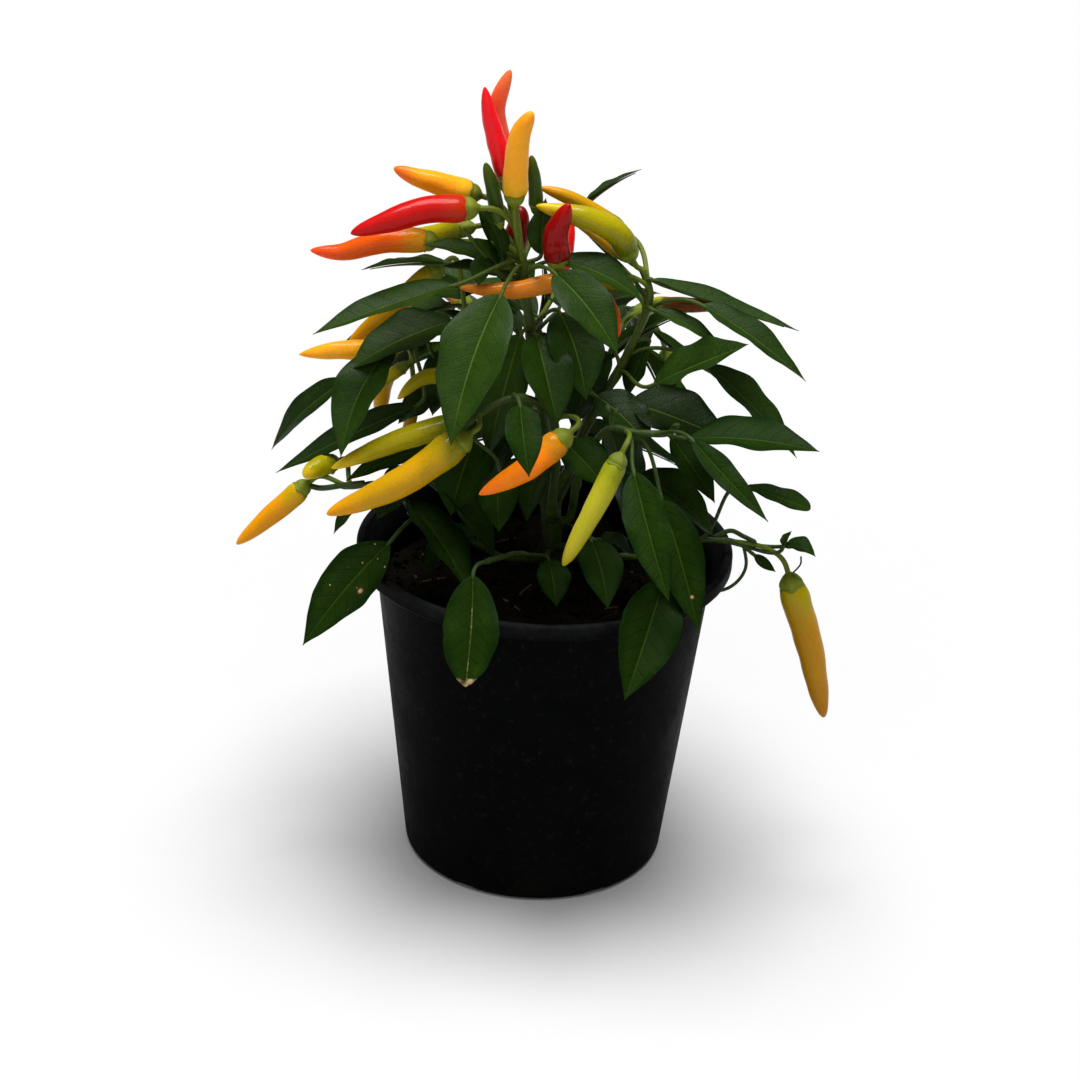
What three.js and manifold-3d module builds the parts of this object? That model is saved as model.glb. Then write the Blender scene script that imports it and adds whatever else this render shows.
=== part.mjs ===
// Potted chilli pepper plant: a nursery pot of soil, a forked main stem, leafy stems and their chillies.
// Millimetres, +Z up. The origin is the middle of the pot's underside, and the front faces -Y.
import * as THREE from "three";
import { mergeVertices } from "three/addons/utils/BufferGeometryUtils.js";
import Module from "manifold-3d";

const wasm = await Module();
wasm.setup();

// ---- driving dimensions ----
const GAP = 0.3; // clearance between pieces that touch

const POT_HEIGHT = 154;
const LIP_RADIUS = 85;
const LIP_HEIGHT = 7.5;
const LIP_INNER_RADIUS = 81;
const BODY_TOP_RADIUS = 76.2;
const FOOT_RADIUS = 60.6;
const FOOT_ROUND = 3.5;
const WALL = 1.6;
const BODY_TOP = POT_HEIGHT - LIP_HEIGHT - 3; // height where the straight wall ends
const FLOOR = 3;
const POT_SIDES = 32;
const DRAIN_HOLES = 6;
const DRAIN_RADIUS = 4.5;
const DRAIN_CIRCLE = 44;
const DRAIN_SIDES = 8;
const NOTCH_WIDTH = 9;
const NOTCH_HEIGHT = 2.2;
const NOTCH_DEPTH = 7;

const SOIL_TOP = 132;
const SOIL_RINGS = 4;
const CLOD_HEIGHT = 1.8;
const MOUND_HEIGHT = 3;
const MOUND_RADIUS = 22;

const STEM_FOOT = 92; // height of the buried end of the main stem
const STEM_ROUTE = [[4, 0, STEM_FOOT], [4, 0, 118], [4, 0, 140], [3, -1, 158], [1, -1, 174], [0, -1, 188]];
const STEM_RADII = [4.4, 3.2]; // at the soil and at the top
const STEM_SIDES = 7;
const STEM_HOLE_RADIUS = STEM_RADII[0] + 1.6 * GAP;
const STEM_HOLE_SIDES = 16;
const FORK_SPUR = 3.5; // how far a fork's spur stands out of the main stem
const SHOOT_SIDES = 5;
const SHOOT_STEP = 15; // length of one straight piece of a leafy stem

const BLADE_THICKNESS = 0.8;
const BLADE_FOLD = 0.31; // angle by which each half blade rises from the midrib, in radians
const BLADE_STATIONS = [0, 0.14, 0.38, 0.7, 1];
const BLADE_SHOULDER = 0.65; // powers of the outline: how fast it widens from the stalk
const BLADE_TAPER = 1.15; // and how long it narrows to the tip
const BLADE_TIP_WIDTH = 1.1;
const LEAF_STALK_WIDTH = 1.9; // and thickness, as far as the blade's first station
const LEAF_STALK_STEPS = 2;
const PEDICEL_RADII = [1, 1.2];
const PEDICEL_STEPS = 3;

const CHILLI_SIDES = 6;
const CHILLI_STATIONS = [0, 0.12, 0.36, 0.62, 0.85, 1];
const CHILLI_NECK = 0.62; // radius at the stalk end, as a share of the full radius
const CHILLI_NECK_LENGTH = 0.12;
const CHILLI_TIP_RADIUS = 0.5;
const CALYX_SIDES = 4;
const CALYX_WIDTH = 0.76; // radius of the cap's open end, as a share of the chilli's radius

// ---- colours ----
const POT_BLACK = 0x1c1d1e;
const SOIL_BROWN = 0x241a12;
const STEM_GREEN = 0x4c5a2c;
const LEAF_GREEN = 0x2e5524;
const CRIMSON = 0x9c1220;
const RED = 0xc41420;
const ORANGE_RED = 0xd8401c;
const ORANGE = 0xe8761c;
const AMBER = 0xe89c24;
const GOLDEN = 0xe0b424;
const YELLOW_GREEN = 0xb8b838;
const UNRIPE = 0x3c5226;

// A leaf: both ends of its blade, its width, how far its midrib arches up as a share of its length,
// its roll about that line in degrees and, for some, the share of the stem's length where its stalk starts.
function leaf(base, tip, width, arch, roll, root) {
  return { base: new THREE.Vector3(...base), tip: new THREE.Vector3(...tip), width, arch, roll, root };
}

// A chilli: points of its centre line from the stalk to the tip, its full radius, how blunt it is from
// 0 (a long point) to 1 (a rounded finger), its colour and, for some, where its stalk starts.
function chilli(line, radius, bluntness, colour, root) {
  return { line, radius, bluntness, colour, root };
}

// ---- the leafy stems: where each leaves the main stem, its route, and what it bears ----
const SHOOTS = [
  {
    name: "crown",
    forkHeight: 184,
    radii: [2.6, 1.6],
    route: [[-4, -4, 222], [-10, -5, 255], [-14, -4, 281], [-15, -3, 293]],
    leaves: [
      leaf([-23, -26, 281], [-41, -66, 228], 31, 0.07, 8, 0.9),
      leaf([-1, -22, 290], [27, -44, 263], 23, 0.08, -25),
      leaf([0, -2, 288], [37, -6, 273], 20, 0.09, -16),
      leaf([-43, -26, 284], [-101, -42, 265], 20, 0.03, 8, 0.9),
      leaf([-48, 6, 284], [-85, 14, 276], 16, 0.04, -14),
      leaf([2, 0, 264], [15, -24, 233], 26, 0.06, -10),
      leaf([-8, -10, 257], [3, -36, 226], 26, 0.06, 6),
      leaf([-6, 2, 298], [-5, 6, 314], 9, 0.04, 10),
      leaf([-36, -10, 294], [-37, -19, 285], 9, 0.06, 10),
      leaf([-47, 24, 260], [-80, 28, 246], 22, 0.05, 0),
      leaf([2, 12, 262], [4, 66, 246], 26, 0.08, 0),
      leaf([-8, 10, 258], [-44, 44, 260], 22, 0.06, 0),
      leaf([10, 10, 258], [47, 46, 257], 24, 0.06, 0),
      leaf([-14, -12, 258], [-26, -26, 206], 28, 0.06, 6),
      leaf([-6, 12, 250], [2, 28, 204], 24, 0.06, 0),
      leaf([2, 24, 240], [0, 44, 194], 20, 0.06, 0),
    ],
    chillies: [
      chilli([[-23, 10, 318], [-25, 10, 333], [-27, 9, 351], [-22, 8, 368]], 3.6, 0.3, ORANGE_RED),
      chilli([[-23, 0, 325], [-26, -1, 336], [-30, -1, 351], [-33, 0, 363]], 3.6, 0.4, CRIMSON),
      chilli([[-19, -12, 320], [-19, -13, 332], [-18, -14, 346], [-13, -16, 358]], 5.6, 1, AMBER),
      chilli([[-10, 10, 308], [-11, 10, 319], [-13, 10, 331]], 3.3, 0.9, UNRIPE),
      chilli([[-26, -4, 305], [-28, -5, 318], [-32, -6, 332]], 3.6, 0.9, UNRIPE),
      chilli([[-38, 4, 315], [-51, 2, 319], [-61, 1, 322], [-71, 0, 326]], 5.4, 0.6, ORANGE),
      chilli([[-39, -14, 315], [-56, -18, 315], [-72, -22, 311], [-87, -26, 306]], 6.2, 0.6, RED),
      chilli([[-56, 0, 294], [-74, -2, 294], [-92, -3, 289], [-106, -4, 290]], 5.6, 0.5, ORANGE),
      chilli([[-40, 16, 295], [-56, 20, 290], [-74, 24, 286]], 4.4, 0.5, YELLOW_GREEN),
      chilli([[-19, 16, 288], [-18, 17, 296], [-17, 18, 305]], 5.2, 0.8, CRIMSON),
      chilli([[0, -6, 290], [-1, -8, 302], [4, -10, 317]], 6, 0.3, RED),
      chilli([[1, -11, 282], [-19, -13, 278], [-41, -15, 279]], 5.2, 0.6, AMBER),
      chilli([[2, 30, 270], [6, 44, 278], [10, 58, 287]], 4.5, 0.5, RED),
      chilli([[-14, 34, 258], [-20, 48, 264], [-26, 62, 272]], 4.2, 0.5, YELLOW_GREEN),
    ],
  },
  {
    name: "right_upper",
    forkHeight: 176,
    radii: [2.3, 1.3],
    route: [[10, 3, 190], [16, 6, 208], [29, 8, 234], [38, 8, 257], [41, 8, 271], [37, 11, 282]],
    leaves: [
      leaf([45, -20, 240], [84, -32, 265], 24, 0.02, -16),
      leaf([71, 0, 243], [113, -8, 204], 22, 0.08, -18),
      leaf([43, 8, 276], [107, 8, 258], 16, 0.02, -4),
      leaf([63, -2, 271], [109, -14, 242], 23, 0.06, -12),
      leaf([47, 2, 264], [73, -10, 254], 20, 0.1, -16),
      leaf([34, -6, 231], [82, -20, 222], 30, 0.04, -22),
      leaf([12, 44, 301], [36, 58, 311], 13, 0.08, 24),
      leaf([24, 34, 281], [3, 38, 289], 14, 0.06, 4),
      leaf([25, 14, 241], [10, 4, 208], 26, 0.08, 10),
      leaf([19, -8, 229], [44, -24, 211], 24, 0.08, -14),
      leaf([24, 8, 212], [34, 2, 166], 30, 0.06, -6),
      leaf([36, 12, 246], [52, 20, 208], 26, 0.06, 0),
    ],
    chillies: [
      chilli([[28, 26, 296], [16, 24, 304], [4, 23, 310], [-9, 22, 314]], 3.8, 0.6, GOLDEN),
      chilli([[33, 8, 288], [29, 6, 298], [16, 3, 308], [-10, 0, 314]], 5.7, 0.5, YELLOW_GREEN),
      chilli([[28, 18, 285], [17, 19, 293], [5, 20, 300]], 3, 0.4, GOLDEN),
      chilli([[20, -2, 274], [25, -4, 266], [28, -6, 256]], 3.4, 0.5, ORANGE),
      chilli([[46, 14, 264], [60, 13, 265], [75, 12, 265]], 3.4, 0.3, CRIMSON),
      chilli([[28, 20, 270], [19, 20, 274], [10, 18, 277]], 3.6, 0.4, GOLDEN),
    ],
  },
  {
    name: "right_mid",
    forkHeight: 160,
    radii: [2.0, 1.2],
    route: [[11, -10, 172], [14, -19, 197], [24, -30, 222], [37, -38, 225], [51, -40, 226]],
    leaves: [
      leaf([6, -28, 215], [25, -42, 200], 22, 0.06, -20),
      leaf([37, -58, 216], [53, -96, 174], 24, 0.05, -22),
      leaf([50, -48, 199], [67, -84, 155], 24, 0.06, -25),
      leaf([40, -16, 201], [73, -14, 170], 30, 0.1, -18),
      leaf([60, -46, 229], [113, -62, 230], 28, 0.02, -10),
      leaf([52, -34, 220], [71, -52, 200], 22, 0.05, -22),
      leaf([57, -56, 229], [92, -88, 205], 24, 0.02, -22),
    ],
    chillies: [
      chilli([[29, -52, 217], [19, -58, 195], [8, -62, 172]], 5.2, 0.8, YELLOW_GREEN),
    ],
  },
  {
    name: "right_low",
    forkHeight: 146,
    radii: [1.8, 1.1],
    route: [[17, -3, 147], [30, -4, 148], [65, -6, 159], [80, -5, 160], [90, -5, 158]],
    leaves: [
      leaf([88, -10, 189], [115, -16, 184], 17, 0.05, -20),
      leaf([108, -6, 159], [121, -12, 157], 12, 0.16, -10),
    ],
    chillies: [
      chilli([[112, -8, 141], [123, -10, 109], [132, -12, 75]], 6.3, 0.8, GOLDEN),
    ],
  },
  {
    name: "left_front",
    forkHeight: 164,
    radii: [2.1, 1.1],
    route: [
      [2, -16, 178],
      [3, -22, 202],
      [0, -24, 226],
      [-15, -36, 238],
      [-32, -44, 232],
      [-46, -39, 214],
      [-66, -30, 195],
      [-91, -20, 185],
    ],
    leaves: [
      leaf([-53, -26, 194], [-22, -52, 168], 28, 0.06, 20),
      leaf([-21, -40, 206], [-20, -54, 183], 18, 0.05, 0),
      leaf([-13, -60, 245], [-8, -84, 223], 17, 0.06, 0),
      leaf([-32, -30, 215], [-41, -46, 186], 26, 0.06, 10),
      leaf([-56, -20, 195], [-74, -28, 174], 22, 0.06, 14),
      leaf([2, -28, 216], [-8, -36, 180], 24, 0.06, 0),
    ],
    chillies: [
      chilli([[-41, -34, 224], [-68, -40, 216], [-93, -44, 205]], 5.3, 0.5, YELLOW_GREEN),
      chilli([[-38, -55, 225], [-62, -62, 208], [-93, -67, 194]], 6.8, 0.6, GOLDEN),
      chilli([[-108, -18, 183], [-122, -20, 170], [-137, -22, 156]], 4.9, 0.5, GOLDEN),
      chilli([[-97, -10, 194], [-102, -15, 195], [-107, -21, 194]], 4.4, 0.8, YELLOW_GREEN),
      chilli([[5, -46, 224], [-10, -54, 213], [-29, -60, 203]], 6.2, 0.3, ORANGE),
    ],
  },
  {
    name: "left_upper",
    forkHeight: 170,
    radii: [2.2, 1.2],
    route: [[-9, 2, 184], [-15, 6, 206], [-20, 7, 232], [-33, 8, 246], [-53, 8, 249], [-68, 4, 241]],
    leaves: [
      leaf([-43, -10, 263], [-87, -28, 247], 32, 0.08, 14),
      leaf([-69, -18, 252], [-88, -52, 214], 25, 0.1, -4),
      leaf([-92, 10, 225], [-125, 18, 185], 18, 0.1, 6),
      leaf([-58, -8, 224], [-120, -12, 188], 19, 0.02, 4),
      leaf([-49, 6, 220], [-67, 2, 207], 22, 0.06, 10),
      leaf([-36, 14, 238], [-64, 24, 200], 26, 0.06, 0),
    ],
    chillies: [
      chilli([[-53, 12, 276], [-70, 10, 260], [-90, 6, 243]], 5.2, 0.6, GOLDEN),
      chilli([[-77, -8, 246], [-92, -10, 246], [-110, -12, 244]], 4.7, 0.2, AMBER),
      chilli([[-66, 8, 232], [-72, 8, 227], [-77, 8, 221]], 3, 0.8, YELLOW_GREEN),
      chilli([[-42, -6, 236], [-57, -10, 234], [-67, -12, 225]], 3.8, 0.5, YELLOW_GREEN),
      chilli([[-62, 12, 210], [-63, 12, 203], [-65, 10, 195]], 3.2, 0.8, GOLDEN),
    ],
  },
  {
    name: "back_left",
    forkHeight: 180,
    radii: [2.1, 1.2],
    route: [[-7, 12, 196], [-18, 30, 216], [-30, 48, 232], [-44, 68, 240]],
    leaves: [
      leaf([-46, 70, 240], [-67, 99, 200], 27, 0.06, 0),
      leaf([-52, 60, 236], [-102, 59, 214], 26, 0.06, 0),
      leaf([-38, 74, 238], [-16, 117, 206], 26, 0.06, 0),
      leaf([-46, 50, 226], [-94, 62, 188], 26, 0.06, 0),
      leaf([-26, 40, 226], [-54, 32, 250], 22, 0.06, 0),
      leaf([-28, 52, 234], [-10, 92, 254], 22, 0.06, 0),
    ],
    chillies: [
      chilli([[-40, 56, 246], [-52, 72, 248], [-62, 86, 246]], 4.8, 0.5, ORANGE),
      chilli([[-74, 80, 212], [-80, 88, 190], [-82, 92, 166]], 5.2, 0.6, GOLDEN),
    ],
  },
  {
    name: "back_right",
    forkHeight: 166,
    radii: [2.1, 1.2],
    route: [[9, 11, 180], [18, 28, 208], [30, 52, 236], [38, 74, 240]],
    leaves: [
      leaf([38, 75, 240], [61, 106, 202], 27, 0.06, 0),
      leaf([46, 66, 238], [100, 58, 214], 26, 0.06, 0),
      leaf([30, 78, 238], [17, 119, 206], 26, 0.06, 0),
      leaf([40, 52, 230], [92, 48, 192], 26, 0.06, 0),
      leaf([24, 40, 226], [62, 34, 254], 22, 0.06, 0),
      leaf([26, 52, 234], [10, 92, 252], 22, 0.06, 0),
    ],
    chillies: [
      chilli([[40, 60, 246], [52, 76, 244], [64, 90, 238]], 4.6, 0.5, YELLOW_GREEN),
      chilli([[58, 92, 212], [64, 100, 190], [64, 104, 166]], 5.4, 0.5, ORANGE),
    ],
  },
  {
    name: "back_low",
    forkHeight: 156,
    radii: [1.9, 1.1],
    route: [[5, 12, 163], [4, 24, 171], [0, 48, 184], [-4, 76, 186]],
    leaves: [
      leaf([-4, 80, 186], [-4, 124, 158], 28, 0.06, 0),
      leaf([-8, 70, 188], [-56, 104, 164], 28, 0.06, 0),
      leaf([4, 68, 188], [52, 104, 166], 28, 0.06, 0),
      leaf([-6, 52, 184], [-62, 66, 160], 28, 0.06, 0),
      leaf([8, 50, 186], [66, 64, 162], 26, 0.06, 0),
      leaf([0, 34, 176], [-48, 38, 150], 24, 0.06, 0),
      leaf([8, 32, 176], [54, 30, 152], 24, 0.06, 0),
    ],
    chillies: [
      chilli([[14, 96, 168], [17, 101, 148], [18, 102, 128]], 5, 0.6, AMBER),
    ],
  },
  {
    name: "left_low",
    forkHeight: 143,
    radii: [1.6, 1.1],
    route: [[-8, -6, 147], [-20, -12, 151], [-42, -20, 167], [-61, -24, 176]],
    leaves: [
      leaf([-70, -36, 168], [-107, -60, 129], 27, 0.03, 30),
      leaf([-61, -30, 184], [-31, -66, 156], 26, 0.06, 14),
      leaf([-30, -14, 164], [-54, -26, 148], 24, 0.06, 0),
    ],
    chillies: [
    ],
  },
  {
    name: "front_right",
    forkHeight: 152,
    radii: [1.7, 1.1],
    route: [[10, -11, 156], [16, -20, 158], [30, -36, 165], [41, -50, 172]],
    leaves: [
      leaf([51, -68, 170], [36, -104, 131], 28, 0.04, 30),
      leaf([20, -40, 174], [28, -66, 154], 20, 0.06, -6),
      leaf([24, -22, 166], [46, -16, 144], 24, 0.06, 0),
    ],
    chillies: [
    ],
  },
  {
    name: "front_low",
    forkHeight: 148,
    radii: [1.6, 1.1],
    route: [[2, -11, 153], [-1, -25, 157], [-12, -42, 167], [-26, -62, 172]],
    leaves: [
      leaf([-30, -72, 171], [-31, -100, 132], 25, 0.04, 0),
      leaf([2, -38, 163], [6, -52, 147], 16, 0.06, 0),
    ],
    chillies: [
    ],
  },
];

// ---- geometry helpers ----
function curveThrough(points) {
  return new THREE.CatmullRomCurve3(points.map((p) => new THREE.Vector3(...p)), false, "catmullrom", 0.5);
}

function surface(corners, triangles) {
  const geometry = new THREE.BufferGeometry();
  geometry.setAttribute("position", new THREE.Float32BufferAttribute(corners.flatMap((c) => c.toArray()), 3));
  geometry.setIndex(triangles);
  return geometry;
}

function solidOf(geometry) {
  geometry.deleteAttribute("normal");
  geometry.deleteAttribute("uv");
  const merged = mergeVertices(geometry, 1e-4);
  return new wasm.Manifold(
    new wasm.Mesh({
      numProp: 3,
      vertProperties: merged.attributes.position.array,
      triVerts: Uint32Array.from(merged.index.array),
    }),
  );
}

function geometryOf(solid) {
  const mesh = solid.getMesh();
  const geometry = new THREE.BufferGeometry();
  geometry.setAttribute("position", new THREE.BufferAttribute(mesh.vertProperties, 3));
  geometry.setIndex(new THREE.BufferAttribute(mesh.triVerts, 1));
  geometry.computeVertexNormals();
  return geometry;
}

// A closed tube through the points, with a radius for each ring and flat ends. Each ring is turned as
// little as it can be from the one before.
function tube(points, radii, sides) {
  const corners = [];
  const triangles = [];
  const last = points.length - 1;
  const across = new THREE.Vector3();
  points.forEach((point, i) => {
    const along = points[Math.min(i + 1, last)].clone().sub(points[Math.max(i - 1, 0)]).normalize();
    if (i === 0) across.set(0, 0, 1).cross(along);
    if (across.lengthSq() < 0.01) across.set(1, 0, 0);
    across.addScaledVector(along, -across.dot(along)).normalize();
    const aside = along.clone().cross(across);
    for (let k = 0; k < sides; k++) {
      const angle = (2 * Math.PI * k) / sides;
      corners.push(
        point
          .clone()
          .addScaledVector(across, radii[i] * Math.cos(angle))
          .addScaledVector(aside, radii[i] * Math.sin(angle)),
      );
    }
  });
  for (let i = 0; i < last; i++) {
    for (let k = 0; k < sides; k++) {
      const here = i * sides + k;
      const next = i * sides + ((k + 1) % sides);
      triangles.push(here, next, next + sides, here, next + sides, here + sides);
    }
  }
  for (let k = 1; k < sides - 1; k++) {
    triangles.push(0, k + 1, k);
    triangles.push(last * sides, last * sides + k, last * sides + k + 1);
  }
  return surface(corners, triangles);
}

// A leaf's midrib, an arch from its base to its tip, and the direction of its right-hand side.
function leafFrame({ base, tip, arch, roll }) {
  const chord = tip.clone().sub(base);
  const length = chord.length();
  chord.divideScalar(length);
  const up = new THREE.Vector3(0, 0, 1).addScaledVector(chord, -chord.z).normalize();
  const side = chord.clone().cross(up);
  up.applyAxisAngle(chord, -THREE.MathUtils.degToRad(roll));
  side.applyAxisAngle(chord, -THREE.MathUtils.degToRad(roll));
  const crest = base.clone().lerp(tip, 0.5).addScaledVector(up, 2 * arch * length);
  return { midrib: new THREE.QuadraticBezierCurve3(base, crest, tip), side };
}

// A leaf with its stalk: a strip with three rows of corners on each face, both faces split alike. The
// stalk's part is square, and the blade's part is folded along its midrib.
function leafBody(stem, one) {
  const { midrib, side } = leafFrame(one);
  const peak = BLADE_SHOULDER / (BLADE_SHOULDER + BLADE_TAPER);
  const widest = peak ** BLADE_SHOULDER * (1 - peak) ** BLADE_TAPER;
  const stalk = stalkPath(stem, midrib.getPoint(0), midrib.getTangent(0), LEAF_STALK_STEPS, one.root);
  const sections = stalk.map((point) => ({
    point,
    half: LEAF_STALK_WIDTH / 2,
    thickness: LEAF_STALK_WIDTH,
    fold: 0,
  }));
  for (const t of BLADE_STATIONS.slice(1)) {
    const outline = (t ** BLADE_SHOULDER * (1 - t) ** BLADE_TAPER) / widest;
    const half = Math.max(one.width * outline, BLADE_TIP_WIDTH) / 2;
    sections.push({ point: midrib.getPoint(t), half, thickness: BLADE_THICKNESS, fold: BLADE_FOLD });
  }

  const last = sections.length - 1;
  const across = side.clone();
  for (let i = last; i >= 0; i--) {
    const along = sections[Math.min(i + 1, last)].point.clone().sub(sections[Math.max(i - 1, 0)].point);
    along.normalize();
    across.addScaledVector(along, -across.dot(along)).normalize();
    sections[i].across = across.clone();
    sections[i].face = across.clone().cross(along);
  }

  const corners = [];
  for (const { point, half, thickness, fold, across, face } of sections) {
    for (const offset of [thickness / 2, -thickness / 2]) {
      for (const row of [-1, 0, 1]) {
        corners.push(
          point
            .clone()
            .addScaledVector(across, row * half * Math.cos(fold))
            .addScaledVector(face, Math.abs(row) * half * Math.sin(fold) + offset),
        );
      }
    }
  }
  const triangles = [];
  const quad = (a, b, c, d) => triangles.push(a, b, c, a, c, d);
  for (let i = 0; i < last; i++) {
    const [left, mid, right, underLeft, underMid, underRight] = [0, 1, 2, 3, 4, 5].map((k) => 6 * i + k);
    quad(left, mid, mid + 6, left + 6);
    quad(mid, right, right + 6, mid + 6);
    triangles.push(underLeft, underMid + 6, underMid, underLeft, underLeft + 6, underMid + 6);
    triangles.push(underMid, underRight + 6, underRight, underMid, underMid + 6, underRight + 6);
    quad(left, left + 6, underLeft + 6, underLeft);
    quad(right, underRight, underRight + 6, right + 6);
  }
  const end = 6 * last;
  quad(0, 3, 4, 1);
  quad(1, 4, 5, 2);
  quad(end, end + 1, end + 4, end + 3);
  quad(end + 1, end + 2, end + 5, end + 4);
  return surface(corners, triangles);
}

// The path of a stalk that leaves the stem along it and arrives at the target in the given direction.
// Unless its root is given as a share of the stem's length, it leaves the stem below the point nearest
// to the target, by half their distance.
function stalkPath(stem, target, direction, steps, root) {
  const length = stem.getLength();
  const tries = Array.from({ length: 61 }, (_, i) => i / 60);
  const distanceAt = (share) => stem.getPointAt(share).distanceTo(target);
  const nearest = tries.reduce((best, share) => (distanceAt(share) < distanceAt(best) ? share : best));
  const share = root ?? Math.max(nearest - (0.5 * distanceAt(nearest)) / length, 3 / length);
  const start = stem.getPointAt(share);
  const reach = 0.35 * start.distanceTo(target);
  return new THREE.CubicBezierCurve3(
    start,
    start.clone().addScaledVector(stem.getTangentAt(share), reach),
    target.clone().addScaledVector(direction, -reach),
    target,
  ).getPoints(steps);
}

function chilliRadius({ radius, bluntness }, t) {
  const fromNeck = 1 - Math.min(t / CHILLI_NECK_LENGTH, 1);
  const neck = CHILLI_NECK + (1 - CHILLI_NECK) * Math.sqrt(1 - fromNeck ** 2);
  const pointed = (1 - t ** 1.8) ** 0.9;
  const blunt = (1 - 0.22 * t) * (1 - t ** 6) ** 0.55;
  return Math.max(radius * neck * ((1 - bluntness) * pointed + bluntness * blunt), CHILLI_TIP_RADIUS);
}

function chilliBody(pod) {
  const line = curveThrough(pod.line);
  const points = CHILLI_STATIONS.map((t) => line.getPointAt(t));
  return tube(points, CHILLI_STATIONS.map((t) => chilliRadius(pod, t)), CHILLI_SIDES);
}

// A chilli's stalk, which widens into the green cap that holds it and ends GAP short of it.
function pedicel(stem, pod) {
  const line = curveThrough(pod.line);
  const along = line.getTangentAt(0);
  const mouth = line.getPointAt(0).addScaledVector(along, -GAP);
  const length = pod.radius + 1.5;
  const [neck, waist] = [1, 0.4].map((share) => mouth.clone().addScaledVector(along, -share * length));
  const path = stalkPath(stem, neck, along, PEDICEL_STEPS, pod.root);
  const radii = path.map((_, i) => THREE.MathUtils.lerp(...PEDICEL_RADII, i / PEDICEL_STEPS));
  return tube([...path, waist, mouth], [...radii, 0.6 * pod.radius, CALYX_WIDTH * pod.radius], CALYX_SIDES);
}

// ---- sub-parts ----
// The inside radius of the pot's straight wall at a height.
function innerRadius(z) {
  return THREE.MathUtils.mapLinear(z, FOOT_ROUND, BODY_TOP, FOOT_RADIUS, BODY_TOP_RADIUS) - WALL;
}

function potSolid() {
  const lipUnder = POT_HEIGHT - LIP_HEIGHT;
  const profile = [
    [0, 0],
    [FOOT_RADIUS - FOOT_ROUND, 0],
    [FOOT_RADIUS - 1, 1],
    [FOOT_RADIUS, FOOT_ROUND],
    [BODY_TOP_RADIUS, BODY_TOP],
    [BODY_TOP_RADIUS + 1.5, lipUnder - 0.5],
    [LIP_RADIUS - 1, lipUnder],
    [LIP_RADIUS, lipUnder + 1.5],
    [LIP_RADIUS, POT_HEIGHT - 1.5],
    [LIP_RADIUS - 1.5, POT_HEIGHT],
    [LIP_INNER_RADIUS + 1, POT_HEIGHT],
    [LIP_INNER_RADIUS, POT_HEIGHT - 1.5],
    [BODY_TOP_RADIUS - WALL, lipUnder],
    [innerRadius(FLOOR + FOOT_ROUND), FLOOR + FOOT_ROUND],
    [innerRadius(FLOOR) - FOOT_ROUND, FLOOR],
    [0, FLOOR],
  ].map(([r, z]) => new THREE.Vector2(r, z));
  let pot = solidOf(new THREE.LatheGeometry(profile, POT_SIDES).rotateX(Math.PI / 2));
  for (let i = 0; i < DRAIN_HOLES; i++) {
    const turn = ((i + 0.5) * 2 * Math.PI) / DRAIN_HOLES;
    const hole = new THREE.CylinderGeometry(DRAIN_RADIUS, DRAIN_RADIUS, 4 * FLOOR, DRAIN_SIDES)
      .rotateX(Math.PI / 2)
      .translate(DRAIN_CIRCLE, 0, 0)
      .rotateZ(turn);
    const notch = new THREE.BoxGeometry(NOTCH_DEPTH, NOTCH_WIDTH, 2 * NOTCH_HEIGHT)
      .translate(FOOT_RADIUS, 0, 0)
      .rotateZ(turn + Math.PI / DRAIN_HOLES);
    pot = pot.subtract(solidOf(hole)).subtract(solidOf(notch));
  }
  return pot;
}

function soilSolid() {
  const wallRadius = (z) => innerRadius(z) - 1.5 * GAP;
  const mound = (x, y) => MOUND_HEIGHT * Math.exp(-((Math.hypot(x, y) / MOUND_RADIUS) ** 2));
  const waveX = (x, y) => Math.sin(0.23 * x + 1.4 * Math.sin(0.11 * y));
  const waveY = (x, y) => Math.cos(0.19 * y + 0.9 * Math.sin(0.13 * x));
  const relief = (x, y) => mound(x, y) + CLOD_HEIGHT * waveX(x, y) * waveY(x, y);
  const corners = [new THREE.Vector3(0, 0, SOIL_TOP + relief(0, 0))];
  const triangles = [];
  const ring = (radius, height) => {
    for (let k = 0; k < POT_SIDES; k++) {
      const angle = (k * 2 * Math.PI) / POT_SIDES;
      const [x, y] = [radius * Math.cos(angle), radius * Math.sin(angle)];
      corners.push(new THREE.Vector3(x, y, height(x, y)));
    }
  };
  for (let j = 1; j <= SOIL_RINGS; j++) {
    ring((wallRadius(SOIL_TOP - CLOD_HEIGHT) * j) / SOIL_RINGS, (x, y) => SOIL_TOP + relief(x, y));
  }
  ring(wallRadius(FLOOR + FOOT_ROUND), () => FLOOR + FOOT_ROUND);
  ring(wallRadius(FLOOR) - FOOT_ROUND, () => FLOOR + GAP);
  const rings = SOIL_RINGS + 2;
  for (let k = 0; k < POT_SIDES; k++) {
    const next = (k + 1) % POT_SIDES;
    triangles.push(0, 1 + k, 1 + next);
    for (let j = 0; j < rings - 1; j++) {
      const [inner, outer] = [1 + j * POT_SIDES, 1 + (j + 1) * POT_SIDES];
      triangles.push(inner + k, outer + k, outer + next, inner + k, outer + next, inner + next);
    }
  }
  const bottom = 1 + (rings - 1) * POT_SIDES;
  for (let k = 1; k < POT_SIDES - 1; k++) triangles.push(bottom, bottom + k + 1, bottom + k);
  const hole = new THREE.CylinderGeometry(STEM_HOLE_RADIUS, STEM_HOLE_RADIUS, POT_HEIGHT, STEM_HOLE_SIDES)
    .rotateX(Math.PI / 2)
    .translate(STEM_ROUTE[0][0], STEM_ROUTE[0][1], STEM_FOOT - GAP + POT_HEIGHT / 2);
  return solidOf(surface(corners, triangles)).subtract(solidOf(hole));
}

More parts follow.
